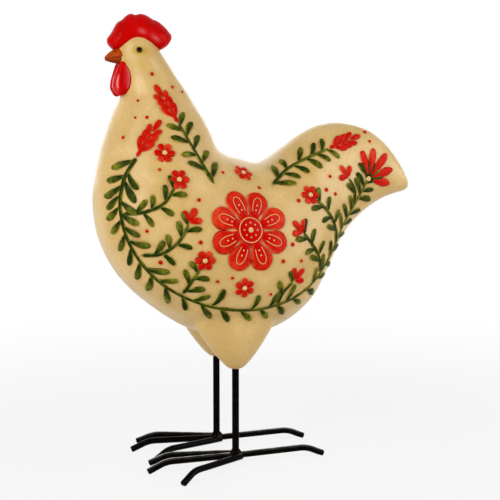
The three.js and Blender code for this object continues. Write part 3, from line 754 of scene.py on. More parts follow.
class HEN_OT_plug(bpy.types.Operator):
    """Models the disc that closes the pour hole under the belly"""

    bl_idname = "hen.plug"
    bl_label = "Pour hole plug"

    EDGE = 0.5
    # The disc lies away from the relief, and its paint reads that as this gap
    RELIEF_GAP = 4

    def execute(self, context):
        sizes = context.scene.hen.body
        seat, out = plug_place()
        face = seat - out * sizes.plug_recess * MM
        bm = bmesh.new()
        disc(bm, face, out, sizes.plug_diameter / 2 * MM, sizes.plug_thickness * MM)
        bmesh.ops.bevel(
            bm, geom=bm.edges, offset=self.EDGE * MM, affect="EDGES", segments=3, profile=0.5, material=-1
        )
        piece = link_mesh(bm, "pour_hole_plug_disc")
        mark(piece, "relief_gap", [self.RELIEF_GAP] * len(piece.data.vertices))
        dress(piece, bpy.data.materials["cream_resin"], "painted_resin", "pour_hole_plug")
        return {"FINISHED"}


# Head pieces


class HEN_OT_comb(bpy.types.Operator):
    """Models the puffy red comb with its lobes and folds"""

    bl_idname = "hen.comb"
    bl_label = "Comb"

    # Rings at which the edge is nicked between two lobes, how far the nicks slant, their reach and depth
    NICKS = (0.5, 2.7, 4.9, 7.1)
    SLANT = 0.3
    NICK_REACH = 0.42
    NICK_DEPTH = 0.07
    # Rings at which varnish has gathered low on the face, how low, and the reach along and up the face
    POOLS = (5.4, 7.4)
    POOL_LEVEL = 0.16
    POOL_REACH = (0.6, 0.14)
    # Strength of the painted shade in the folds
    SHADE = 0.3
    SMOOTHING = 3

    def execute(self, context):
        bm = bmesh.new()
        loft(
            bm,
            lambda ring, angle: COMB.pressed(ring, angle, self.NICK_DEPTH * self.fold_at(ring, angle)),
            COMB.round_stations(8),
            64,
            COMB.poles(),
            # Painted shade in the folds between the lobes
            fold=lambda ring, angle: self.SHADE * self.fold_at(ring, angle),
            varnish=self.pool_at,
        )
        for _ in range(self.SMOOTHING):
            bmesh.ops.smooth_vert(
                bm, verts=bm.verts, factor=0.5, use_axis_x=True, use_axis_y=True, use_axis_z=True
            )
        piece = link_mesh(bm, "comb_casting")
        dress(piece, comb_paint(context.scene.hen.paints), "comb_red", "comb")
        return {"FINISHED"}

    def fold_at(self, ring, angle):
        nearest = min(abs(ring - nick - self.SLANT * (1 - math.cos(angle))) for nick in self.NICKS)
        return hill(nearest, self.NICK_REACH) * max(0, math.cos(angle)) ** 0.7

    def pool_at(self, ring, angle):
        nearest = min(abs(ring - pool) for pool in self.POOLS)
        level = math.cos(angle) + self.POOL_LEVEL + 0.1 * (ring - self.POOLS[0])
        along, up = self.POOL_REACH
        return hill(nearest, along) * hill(level, up)


class HEN_OT_wattles(bpy.types.Operator):
    """Models the two hanging wattles, each with a crease down its face between two glossy banks"""

    bl_idname = "hen.wattles"
    bl_label = "Wattles"

    # The crease's angle from the front edge, its reach, and the depth and shade of it
    CREASE = 1.5
    CREASE_REACH = 0.42
    CREASE_DEPTH = 0.3
    CREASE_SHADE = 0.35
    # Each bank: its angle, reach, strength, and the rings and stretches over which it starts and ends
    BANKS = ((2.12, 0.15, 1, 0, 0.6, 3.5, 0.8), (0.8, 0.2, 0.7, 1, 0.8, 4, 0.5))

    def execute(self, context):
        sizes = context.scene.hen.body
        for side, sign in SIDES.items():

            def hang(at):
                out = sizes.wattle_spread + sizes.wattle_turn * (at.x - WATTLE_TOP[0])
                return place(at.x, at.y + sign * out, at.z)

            def ring_point(ring, angle):
                at = WATTLE.point(ring, angle)
                at.y *= 1 - self.CREASE_DEPTH * self.crease_at(ring, angle)
                return hang(at)

            bm = bmesh.new()
            loft(
                bm,
                ring_point,
                WATTLE.round_stations(8),
                64,
                [hang(end) for end in WATTLE.ends],
                # Painted shade in the crease
                fold=lambda ring, angle: self.CREASE_SHADE * self.crease_at(ring, angle),
                varnish=self.bank_at,
            )
            piece = link_mesh(bm, f"{side}_wattle_casting")
            dress(piece, bpy.data.materials["comb_paint"], "comb_red", f"{side}_wattle")
        return {"FINISHED"}

    def crease_at(self, ring, angle):
        along = min(max(ring / WATTLE.last + 0.1, 0), 1)
        return hill(abs(angle - math.pi) - self.CREASE, self.CREASE_REACH) * math.sin(math.pi * along)

    def bank_at(self, ring, angle):
        turn = abs(angle - math.pi)
        values = []
        for middle, reach, strength, start, rising, end, falling in self.BANKS:
            along = ease((ring - start) / rising) * ease((end - ring) / falling)
            values.append(strength * hill(turn - middle, reach) * along)
        return max(values)


class HEN_OT_beak(bpy.types.Operator):
    """Models the beak with its mouth line and nostrils"""

    bl_idname = "hen.beak"
    bl_label = "Beak"

    # Angles of mouth line and nostrils from the top, the nostrils' ring, and the reach of each
    MOUTH = math.radians(108)
    MOUTH_REACH = 0.09
    NOSTRIL = math.radians(48)
    NOSTRIL_RING = 2.1
    NOSTRIL_REACH = (0.2, 0.18)
    DEPTH = 0.14

    def execute(self, context):
        bm = bmesh.new()
        loft(
            bm,
            lambda ring, angle: BEAK.pressed(ring, angle, self.DEPTH * self.fold_at(ring, angle)),
            BEAK.round_stations(10),
            72,
            BEAK.poles(),
            fold=lambda ring, angle: max(self.fold_at(ring, angle), self.below_mouth(angle)),
        )
        piece = link_mesh(bm, "beak_casting")
        dress(piece, beak_paint(context.scene.hen.paints), "beak_orange", "beak")
        return {"FINISHED"}

    def turn_of(self, angle):
        return min(angle, 2 * math.pi - angle)

    def fold_at(self, ring, angle):
        turn = self.turn_of(angle)
        round_it, along = self.NOSTRIL_REACH
        nostril = hill(turn - self.NOSTRIL, round_it) * hill(ring - self.NOSTRIL_RING, along)
        return max(hill(turn - self.MOUTH, self.MOUTH_REACH), nostril)

    # Painted shade on the underside, below the mouth line
    def below_mouth(self, angle):
        return 0.6 * ease((self.turn_of(angle) - self.MOUTH) / 0.3)


class HEN_OT_eyes(bpy.types.Operator):
    """Models the two glossy beads of the eyes"""

    bl_idname = "hen.eyes"
    bl_label = "Eyes"

    def execute(self, context):
        sizes = context.scene.hen.body
        radius = sizes.eye_radius * MM
        flat = Matrix.Diagonal((1, 1, sizes.eye_crown / sizes.eye_radius, 1))
        skin = skin_of("body_skin")
        gloss = bead_gloss(context.scene.hen.paints)
        for side, eye in EYES.items():
            seat, out, *_ = skin.find_nearest(eye)
            bm = bmesh.new()
            ring = bm.verts.layers.float.new("ring")
            bmesh.ops.create_uvsphere(bm, u_segments=32, v_segments=20, radius=radius)
            for vert in bm.verts:
                vert[ring] = math.hypot(vert.co.x, vert.co.y) / radius
            bmesh.ops.transform(bm, verts=bm.verts, matrix=facing(seat, out) @ flat)
            dress(link_mesh(bm, f"{side}_eye_bead"), gloss, "eye_black", f"{side}_eye")
        return {"FINISHED"}


# Relief


class Relief:
    """Raised strokes and bosses laid on the body's skin, in one bmesh for each paint."""

    PAINTS = ("green", "red", "cream")
    # How far forms reach below the skin, the spacing of places along a stem, and half the width of a line
    SUNK = 0.8
    STEP = 2.5
    LINE = 0.42
    # How square a stroke's section is, across and upwards: 1 is round
    ACROSS = 0.8
    UPWARDS = 0.6
    # Shares of a boss's radius and rise, from its top down
    BOSS = ((0.6, 1), (0.9, 0.75), (1, 0))
    # Places along a leaf, closer together at its round tip, and those that keep other leaves off
    LEAF_SHARES = (0, 0.2, 0.4, 0.58, 0.72, 0.84, 0.93, 0.98, 1)
    LEAF_SPOTS = (3, 5)
    LEAF_ROOM = 0.85
    # The share of its width at the foot of a leaf and a petal, and the places of their swell and shoulder
    LEAF_CLUB = (0.32, 0.65, 0.7)
    PETAL_CLUB = (0.42, 0.62, 0.62)
    PETAL_SHARES = [math.sin(math.pi / 2 * share) for share in even_shares(24)]
    # Pairs of drops on an ear: their place on its stem of ten steps, and their length
    EAR_PAIRS = ((2, 12), (5, 11), (8, 10))
    DAISY_PETALS = 6
    BLOOM_PETALS = 8
    # Directions of the tail's plumes and of the leaves between them, in degrees from the garland's end
    PLUMES = (42, 14, -14, -42, -70)
    PLUME_LEAVES = (58, 28, 0, -28, -56)
    # The field of the dots, and how far a place may turn away from the side to bear one
    DOT_FIELD = ((-88, 128), (36, 208))
    DOT_FACING = 0.6

    def __init__(self, skin, sizes):
        self.skin = skin
        self.sizes = sizes
        self.paints = {name: bmesh.new() for name in self.PAINTS}

    def begin(self, side):
        """Starts on a bare flank. Both flanks draw the same run of uneven values."""
        self.hand = -SIDES[side]
        self.out = Vector((0, SIDES[side], 0))
        self.draws = 0
        self.forms = 0
        self.taken = []

    def vary(self, low, high):
        """The next of a fixed run of uneven values."""
        self.draws += 1
        return uneven(self.draws, low, high)

    # Places on the skin

    def look_at(self, x, z):
        """The place and normal of the skin at x and z, seen straight from the side, or None twice."""
        far_off = 0.2
        return self.skin.ray_cast(place(x, 0, z) + self.out * far_off, -self.out)[:2]

    def on_flank(self, x, z):
        """A place and normal that have to be there."""
        spot, normal = self.look_at(x, z)
        if spot is None:
            raise RuntimeError(f"the flank has no skin at x {x}, z {z}")
        return spot, normal

    def snap(self, spot):
        return self.skin.find_nearest(spot)[:2]

    def around(self, normal, degrees):
        """A direction along the skin, in degrees from straight back, turning up."""
        flat = (Vector((1, 0, 0)) - normal * normal.x).normalized()
        return swing(flat, normal, self.hand * degrees)

    def walk(self, spot, normal, heading, length, curl, shares):
        """Places and normals along a walk on the skin that curls by radians, at shares of its length."""
        trail = [(spot, normal)]
        for before, share in zip(shares, shares[1:]):
            heading = Matrix.Rotation(curl * (share - before), 3, normal) @ heading
            spot, normal = self.snap(spot + heading * length * (share - before) * MM)
            heading = (heading - normal * heading.dot(normal)).normalized()
            trail.append((spot, normal))
        return trail

    def along_route(self, route):
        """Places and normals along a curve through flank points."""
        points = [Vector(point) for point in route]
        span = sum((b - a).length for a, b in zip(points, points[1:]))
        return [self.on_flank(*spline(points, share)) for share in even_shares(round(span / self.STEP))]

    def heading(self, trail, index):
        """The direction of a trail at one of its places."""
        before, after = trail[max(index - 1, 0)], trail[min(index + 1, len(trail) - 1)]
        return (after[0] - before[0]).normalized()

    def turned(self, trail, index, degrees):
        """The trail's heading at a place, turned about the skin's normal."""
        return swing(self.heading(trail, index), trail[index][1], degrees)

    def beside(self, trail, share, across):
        """The skin at a share of a trail's length, moved across it by millimetres."""
        reached = share * (len(trail) - 1)
        index = min(int(reached), len(trail) - 2)
        (spot, normal), (ahead, _) = trail[index : index + 2]
        side = normal.cross(ahead - spot).normalized()
        return self.snap(spot.lerp(ahead, reached - index) + side * across * MM)

    # Keeping clear of what is there

    def take(self, spot, radius, owner):
        self.taken.append((spot, radius, owner))

    def is_clear(self, spot, radius, owner=None):
        """Whether a round place keeps clear of everything that belongs to other owners."""
        return all(
            (spot - other).length > (radius + reach) * MM
            for other, reach, holder in self.taken
            if owner is None or holder != owner
        )

    # Strokes and bosses

    def raise_form(self, paint_name, ring_point, stations, sides, poles, crest, along):
        """Lofts one form with its crest and the share along it, and adds it to its paint."""
        self.forms += 1
        tone = uneven(self.forms)
        bm = bmesh.new()
        loft(bm, ring_point, stations, sides, poles, crest=crest, along=along, tone=lambda *_: tone)
        mesh = bpy.data.meshes.new("form")
        bm.to_mesh(mesh)
        bm.free()
        self.paints[paint_name].from_mesh(mesh)
        bpy.data.meshes.remove(mesh)

    def stroke(self, paint_name, trail, half_width, rise, sides, shares=None):
        """A rounded stroke along a trail. half_width gives millimetres by the share of the way."""
        last = len(trail) - 1
        shares = shares or even_shares(last)

        def ring_point(index, angle):
            spot, normal = trail[index]
            across = normal.cross(self.heading(trail, index))
            side = math.copysign(abs(math.cos(angle)) ** self.ACROSS, math.cos(angle))
            base, out = self.snap(spot + across * half_width(shares[index]) * side * MM)
            above = math.sin(angle)
            lift = above**self.UPWARDS * rise if angle < math.pi else above * self.SUNK
            return base + out * lift * MM

        self.raise_form(
            paint_name,
            ring_point,
            range(1, last),
            sides,
            [trail[0][0], trail[-1][0]],
            crest=lambda _, angle: max(math.sin(angle), 0),
            along=lambda index, _: shares[index],
        )

    def boss(self, paint_name, spot, normal, radius, rise, sides=16):
        """A low round boss with a flat top and a rounded edge."""
        rings = (*self.BOSS, (0.9, -self.SUNK / rise))

        def ring_point(index, angle):
            share, lift = rings[index]
            way = self.around(normal, math.degrees(angle))
            base, out = self.snap(spot + way * radius * share * MM)
            return base + out * lift * rise * MM

        self.raise_form(
            paint_name,
            ring_point,
            range(len(rings)),
            sides,
            [spot + normal * rise * MM, spot - normal * self.SUNK * MM],
            crest=lambda index, _: max(rings[index][1], 0),
            along=lambda *_: 0,
        )

    def leaf(self, paint_name, start, heading, length, width, curl, owner, gives_way=False):
        """A club-shaped leaf, narrow at its foot and round at its tip. One that gives way needs free room."""
        trail = self.walk(*start, heading, length, curl, self.LEAF_SHARES)
        spots = [trail[index][0] for index in self.LEAF_SPOTS]
        room = self.LEAF_ROOM * width
        if gives_way and not all(self.is_clear(spot, room, owner) for spot in spots):
            return
        for spot in spots:
            self.take(spot, room, f"leaf of {owner}" if gives_way else owner)

        def half_width(t):
            return width * club(t, *self.LEAF_CLUB)

        self.stroke(paint_name, trail, half_width, self.sizes.rise, 8, self.LEAF_SHARES)

    def stem(self, paint_name, trail, owner):
        thin = self.sizes.stem_width
        self.stroke(paint_name, trail, lambda t: thin * (1.1 - 0.45 * t), 0.85 * self.sizes.rise, 6)
        for spot, _ in trail:
            self.take(spot, thin, owner)

    def leaves(self, trail, length, owner, main=False):
        """Leaves to either side of a stem in turn, shorter to its tip. Main ones are every third and stay."""
        sizes = self.sizes
        steps = len(trail) - 1
        spacing = max(round(sizes.leaf_gap * length / sizes.leaf_length / self.STEP), 1)
        for count, index in enumerate(range(1, steps, spacing)):
            if main and count % 3:
                continue
            hand = 1 if count % 2 else -1
            size = length * (1.05 - 0.25 * index / steps) * uneven(index, 0.85, 1.12)
            way = self.turned(trail, index, hand * uneven(index + 100, 26, 40))
            width = sizes.leaf_width * (0.45 + 0.55 * size / sizes.leaf_length)
            curl = hand * uneven(index + 200, 0.2, 1)
            holder = f"leaf of {owner}" if main else owner
            self.leaf("green", trail[index], way, size, width, curl, holder, not main)

    # Motifs

    def ear(self, tip, heading, owner):
        """A red ear at the end of a vine: pairs of drops and one at the tip."""
        trail = self.walk(*tip, heading, 20, 0, even_shares(10))
        self.stem("red", trail, owner)
        for index, length in self.EAR_PAIRS:
            for hand in (-1, 1):
                way = self.turned(trail, index, 42 * hand)
                self.leaf("red", trail[index], way, length, 2.1, -0.5 * hand, owner)
        self.leaf("red", trail[-1], self.heading(trail, 10), 11, 2.3, 0, owner)

    def berries(self, tip, heading, owner):
        """Three red drops at the end of a sprig."""
        for degrees in (-44, 0, 44):
            curl = math.radians(degrees) * 0.4
            self.leaf("red", tip, swing(heading, tip[1], degrees), 9 if degrees else 11, 2.5, curl, owner)

    def daisy(self, spot, normal, lean, owner):
        """A small red blossom with a cream middle."""
        radius = self.sizes.daisy_radius
        for petal in range(self.DAISY_PETALS):
            way = self.around(normal, lean + 360 * petal / self.DAISY_PETALS)
            start = self.snap(spot + way * 0.12 * radius * MM)
            self.leaf("red", start, way, 0.88 * radius, 0.36 * radius, 0, owner)
        self.boss("cream", spot, normal, 0.25 * radius, 1.4 * self.sizes.rise)
        self.take(spot, radius, owner)

    def bloom(self, spot, normal):
        """The large red blossom: broad petals round a disc, with cream lines and dots on them."""
        radius = self.sizes.bloom_radius
        length = 0.7 * radius
        width = 0.29 * radius
        rise = 1.2 * self.sizes.rise
        line_rise = rise + 0.25
        disc_lift = 0.2

        def half_width(t):
            return width * club(t, *self.PETAL_CLUB)

        def on_arch(trail, turn):
            across = 0.6 * width * math.cos(turn) * (0.4 + 0.6 * math.sin(turn))
            return self.beside(trail, 0.16 + 0.62 * math.sin(turn), across)

        def out_from_middle(degrees, share):
            return self.snap(spot + self.around(normal, degrees) * share * radius * MM)

        def draw(trail, lift):
            self.stroke("cream", trail, lambda _: self.LINE, lift, 6)

        for petal in range(self.BLOOM_PETALS):
            degrees = 360 * (petal + 0.5) / self.BLOOM_PETALS
            way = self.around(normal, degrees)
            start = out_from_middle(degrees, 0.3)
            outline = self.walk(*start, way, length, 0, self.PETAL_SHARES)
            self.stroke("red", outline, half_width, rise, 16, self.PETAL_SHARES)
            trail = self.walk(*start, way, length, 0, even_shares(24))
            draw([on_arch(trail, math.pi * share) for share in even_shares(28)], line_rise)
            for share in (0.3, 0.48):
                self.boss("cream", *self.beside(trail, share, 0), 0.75, line_rise)
        self.boss("red", spot, normal, 0.37 * radius, rise + disc_lift, 48)
        draw([out_from_middle(9 * step, 0.29) for step in range(43)], line_rise + disc_lift)
        for step in range(self.BLOOM_PETALS):
            dot = out_from_middle(360 * step / self.BLOOM_PETALS, 0.17)
            self.boss("cream", *dot, 0.7, line_rise + disc_lift)
        self.boss("cream", spot, normal, 0.07 * radius, line_rise + 0.5)

    def tail_fan(self, tip, heading, owner):
        """Red plumes that spread over the tail from the garland's end, with green leaves between them."""
        for count, degrees in enumerate(self.PLUMES):
            way = swing(heading, tip[1], self.hand * degrees)
            self.leaf("red", tip, way, 26 - 2.4 * abs(count - 2), 3.4, 0, owner)
        for degrees in self.PLUME_LEAVES:
            self.leaf("green", tip, swing(heading, tip[1], self.hand * degrees), 13, 1.5, 0, owner)
        self.boss("cream", *tip, 2.0, 1.5 * self.sizes.rise)

    def scatter(self, count, clear):
        """Small red dots in the bare places between the other motifs."""
        for _ in range(40 * count):
            spot, normal = self.look_at(*[self.vary(*limits) for limits in self.DOT_FIELD])
            if spot is None or normal.dot(self.out) < self.DOT_FACING or not self.is_clear(spot, clear):
                continue
            radius = self.sizes.dot_radius * self.vary(0.75, 1.25)
            self.boss("red", spot, normal, radius, 0.8 * self.sizes.rise)
            self.take(spot, clear, "dots")
            count -= 1
            if not count:
                return


class HEN_OT_relief(bpy.types.Operator):
    """Lays the raised and painted leaves, blossoms and lines on both flanks, and the wash and painted shade
    round them
    """

    bl_idname = "hen.relief"
    bl_label = "Relief"

    # Length of the leaves on each vine and on the sprigs, as shares of those on the garland
    LEAF_LENGTHS = {"garland": 1, "back": 0.85, "neck": 0.9}
    SPRIG_LEAF_LENGTH = 0.75
    DOTS = 26
    DOT_ROOM = 3.6
    # Reach, in millimetres, of the marks for the wash and the painted shade round the relief
    WASH_AND_SHADE_REACH = 10

    def execute(self, context):
        sizes = context.scene.hen.relief
        paints = context.scene.hen.paints
        relief = Relief(skin_of("body_skin"), sizes)
        for side in SIDES:
            relief.begin(side)
            self.lay(relief, sizes)
        self.wash_and_shade(relief)
        looks = {
            "green": ("relief_leaves", paints.leaf, paints.leaf_edge, paints.leaf_rim, paints.leaf_outline_and_shade),
            "red": ("relief_blossoms", paints.red, paints.red_thin, paints.red_rim, paints.red_deep_and_shade),
            "cream": ("relief_lines", paints.cream, paints.cream, paints.cream, paints.cream_deep_and_shade),
        }
        for name, (piece_name, *colours) in looks.items():
            piece = link_mesh(relief.paints[name], piece_name)
            dress(piece, stroke_paint(f"{name}_paint", *colours), "painted_resin")
        return {"FINISHED"}

    def lay(self, relief, sizes):
        """Lays the ornament on one flank: blossoms and stems first, then leaves where there is room."""
        centre = relief.on_flank(*BLOOM)
        relief.bloom(*centre)
        relief.take(centre[0], sizes.bloom_radius, "bloom")
        stems = {"garland": GARLAND, "back": BACK_VINE, "neck": NECK_VINE}
        stems.update({f"berry {index}": route for index, route in enumerate(BERRY_SPRIGS)})
        stems.update({f"daisy {index}": route for index, route in enumerate(DAISY_SPRIGS)})
        trails = {owner: relief.along_route(route) for owner, route in stems.items()}
        for owner, trail in trails.items():
            relief.stem("green", trail, owner)
        for owner, trail in trails.items():
            tip = trail[-1]
            ahead = relief.heading(trail, len(trail) - 1)
            if owner == "garland":
                relief.tail_fan(tip, ahead, owner)
                relief.ear(trail[0], -relief.heading(trail, 0), owner)
            elif owner in ("back", "neck"):
                relief.ear(tip, ahead, owner)
            elif owner.startswith("berry"):
                relief.berries(tip, ahead, owner)
            else:
                relief.daisy(*relief.snap(tip[0] + ahead * 0.8 * sizes.daisy_radius * MM), 0, owner)
        for index, (x, z) in enumerate(DAISIES):
            relief.daisy(*relief.on_flank(x, z), uneven(index + 1, 0, 60), f"loose {index}")
        relief.leaves(trails["garland"], sizes.leaf_length, "garland", main=True)
        for owner, trail in trails.items():
            share = self.LEAF_LENGTHS.get(owner, self.SPRIG_LEAF_LENGTH)
            relief.leaves(trail, share * sizes.leaf_length, owner)
        relief.scatter(self.DOTS, self.DOT_ROOM)

    def wash_and_shade(self, relief):
        """Marks on the skin how far off the relief is, for the wash and the painted shade round it."""
        body = bpy.data.objects["body_skin"]
        trees = [BVHTree.FromBMesh(bm) for bm in relief.paints.values()]
        far = self.WASH_AND_SHADE_REACH * MM
        gaps = []
        for vert in body.data.vertices:
            near = [tree.find_nearest(vert.co, far)[3] for tree in trees]
            gaps.append(min((gap for gap in near if gap is not None), default=far) / MM)
        mark(body, "relief_gap", gaps)


# Legs and feet

# A rounded wire end: places along its bevel, and the share of the radius there

WIRE_END = ((0, 0.78), (0.35, 0.94))


def tube(bm, points, bevel, radius):
    """A round wire through points, with its ends rounded off and its underside flat on the ground."""
    first = (points[1] - points[0]).normalized() * bevel
    last = (points[-2] - points[-1]).normalized() * bevel
    route = [(points[0] + first * along, share) for along, share in WIRE_END]
    route += [(point, 1.0) for point in (points[0] + first, *points[1:-1], points[-1] + last)]
    route += [(points[-1] + last * along, share) for along, share in reversed(WIRE_END)]

    def ring_point(index, angle):
        at, share = route[index]
        before, after = route[max(index - 1, 0)][0], route[min(index + 1, len(route) - 1)][0]
        heading = (after - before).normalized()
        side = heading.cross(UP)
        side = side.normalized() if side.length > 0.01 else Vector((0, 1, 0))
        point = at + (side * math.cos(angle) + side.cross(heading) * math.sin(angle)) * radius * share
        point.z = max(point.z, 0)
        return point

    loft(bm, ring_point, range(len(route)), 24, [points[0], points[-1]])


def paint_wire(bm, name, node):
    """Finishes a piece of wire, with the glossier paint on its upper side marked."""
    piece = link_mesh(bm, name)
    mark(piece, "varnish", [ease((vert.normal.z - 0.6) / 0.25) for vert in piece.data.vertices])
    dress(piece, bpy.data.materials["wire_paint"], "leg_black", node)


class HEN_OT_legs(bpy.types.Operator):
    """Models the two leg rods"""

    bl_idname = "hen.legs"
    bl_label = "Leg rods"

    STEPS = 16
    BEVEL = 0.4

    def execute(self, context):
        sizes = context.scene.hen.feet
        wire_paint(context.scene.hen.paints)
        for side, (low, high) in ROD_BOXES.items():
            levels = [low.z + (high.z - low.z) * step / self.STEPS for step in range(self.STEPS + 1)]
            bm = bmesh.new()
            tube(bm, [FEET[side] + UP * level for level in levels], self.BEVEL * MM, sizes.rod / 2 * MM)
            paint_wire(bm, f"{side}_rod", f"{side}_leg_rod")
        return {"FINISHED"}


class HEN_OT_toes(bpy.types.Operator):
    """Models the four bent wire toes of each foot"""

    bl_idname = "hen.toes"
    bl_label = "Toes"

    # Each toe's angle from straight ahead, in degrees, positive away from the other foot
    SPLAY = {
        "left": {"outer": 38, "middle": 4, "inner": -14, "back": 180},
        "right": {"outer": 24, "middle": 3, "inner": -28, "back": 180},
    }
    BEVEL = 0.5
    # How far the axis of a sloping tip ends short of the wire's edge there
    TIP_EDGE = 0.8

    def execute(self, context):
        sizes = context.scene.hen.feet
        for side, splay in self.SPLAY.items():
            foot = FEET[side]
            back_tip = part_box(f"{side}_back_toe")[1].x
            reaches = {
                "outer": sizes.side_reach,
                "middle": sizes.middle_reach,
                "inner": sizes.side_reach,
                "back": (back_tip - foot.x) / MM - self.TIP_EDGE,
            }
            for toe, degrees in splay.items():
                angle = math.radians(degrees)
                way = Vector((-math.cos(angle), SIDES[side] * math.sin(angle), 0))
                points = self.route(sizes, self.start(sizes, side, toe, way), way, reaches[toe])
                bm = bmesh.new()
                tube(bm, [foot + point * MM for point in points], self.BEVEL * MM, sizes.wire / 2 * MM)
                name = f"{side}_{toe}_toe"
                paint_wire(bm, f"{name}_wire", name)
        return {"FINISHED"}

    def start(self, sizes, side, toe, way):
        """Where a toe's wire starts: an outer or inner toe beside the rod, the others butted against it."""
        level = UP * sizes.ankle
        if toe in ("middle", "back"):
            return way * (sizes.rod / 2 + sizes.gap) + level
        across = Vector((-way.y, way.x, 0))
        outward = SIDES[side] if toe == "outer" else -SIDES[side]
        across *= math.copysign(1, across.y) * outward
        return across * ((sizes.rod + sizes.wire) / 2 + sizes.gap) + level

    def route(self, sizes, start, way, reach):
        """Straight to the bend, round it and down to the tip."""
        bend = way * (reach - sizes.toe_tip) + UP * sizes.bend
        tip = way * reach + UP * sizes.tip
        into = bend + (start - bend).normalized() * sizes.ease
        out = bend + (tip - bend).normalized() * sizes.ease
        straight = [start.lerp(into, share) for share in even_shares(6)[:-1]]
        curve = [into.lerp(bend, share).lerp(bend.lerp(out, share), share) for share in even_shares(8)]
        return [*straight, *curve, out.lerp(tip, 0.5), tip]


class HEN_OT_welds(bpy.types.Operator):
    """Models the lumpy weld bead at each ankle"""

    bl_idname = "hen.welds"
    bl_label = "Ankle welds"

    # Shares of the bead's height and of its width beyond the rod
    PROFILE = ((0, 0.5), (0.15, 0.85), (0.35, 1), (0.55, 0.95), (0.72, 0.7), (0.88, 0.35), (1, 0.05))
    # Each wave round the bead: its count, start and size
    LUMPS = ((2, 0.4, 0.16), (3, 2.1, 0.14), (5, 4.0, 0.1))
    # Share of the toe wire's diameter by which the bead reaches below its axis
    UNDER = 0.3

    def execute(self, context):
        sizes = context.scene.hen.feet
        rod = sizes.rod / 2
        bottom = sizes.ankle - self.UNDER * sizes.wire
        height = sizes.ankle + sizes.wire / 2 + sizes.weld_rise - bottom
        for side, sign in SIDES.items():
            foot = FEET[side]

            def ring_point(index, angle):
                rise, share = self.PROFILE[index]
                waves = [size * math.sin(count * angle + sign * start) for count, start, size in self.LUMPS]
                radius = rod + (sizes.weld_radius - rod) * share * (1 + sum(waves))
                way = Vector((math.cos(angle), math.sin(angle), 0))
                return foot + way * radius * MM + UP * (bottom + height * rise) * MM

            bm = bmesh.new()
            ends = [foot + UP * level * MM for level in (bottom, bottom + height)]
            loft(bm, ring_point, range(len(self.PROFILE)), 40, ends)
            name = f"{side}_foot_weld"
            paint_wire(bm, f"{name}_bead", name)
        return {"FINISHED"}


# Stage


def aim(thing, target):
    """Turns a lamp or the camera from its place towards a target."""
    thing.rotation_mode = "QUATERNION"
    thing.rotation_quaternion = (target - thing.location).to_track_quat("-Z", "Y")


def seen_directly(nodes, links):
    """1 for rays from the camera, a mirror or glass, 0 for the light that falls on things."""
    path = nodes.new("ShaderNodeLightPath")
    factor = path.outputs["Is Camera Ray"]
    for name in ("Is Glossy Ray", "Is Transmission Ray"):
        both = nodes.new("ShaderNodeMath")
        both.operation = "MAXIMUM"
        links.new(factor, both.inputs[0])
        links.new(path.outputs[name], both.inputs[1])
        factor = both.outputs["Value"]
    return factor


def choose(nodes, links, factor, first, second, output):
    """Shows the second shader instead of the first by a factor."""
    mix = nodes.new("ShaderNodeMixShader")
    links.new(factor, mix.inputs["Fac"])
    links.new(first, mix.inputs[1])
    links.new(second, mix.inputs[2])
    links.new(mix.outputs["Shader"], nodes[output].inputs["Surface"])


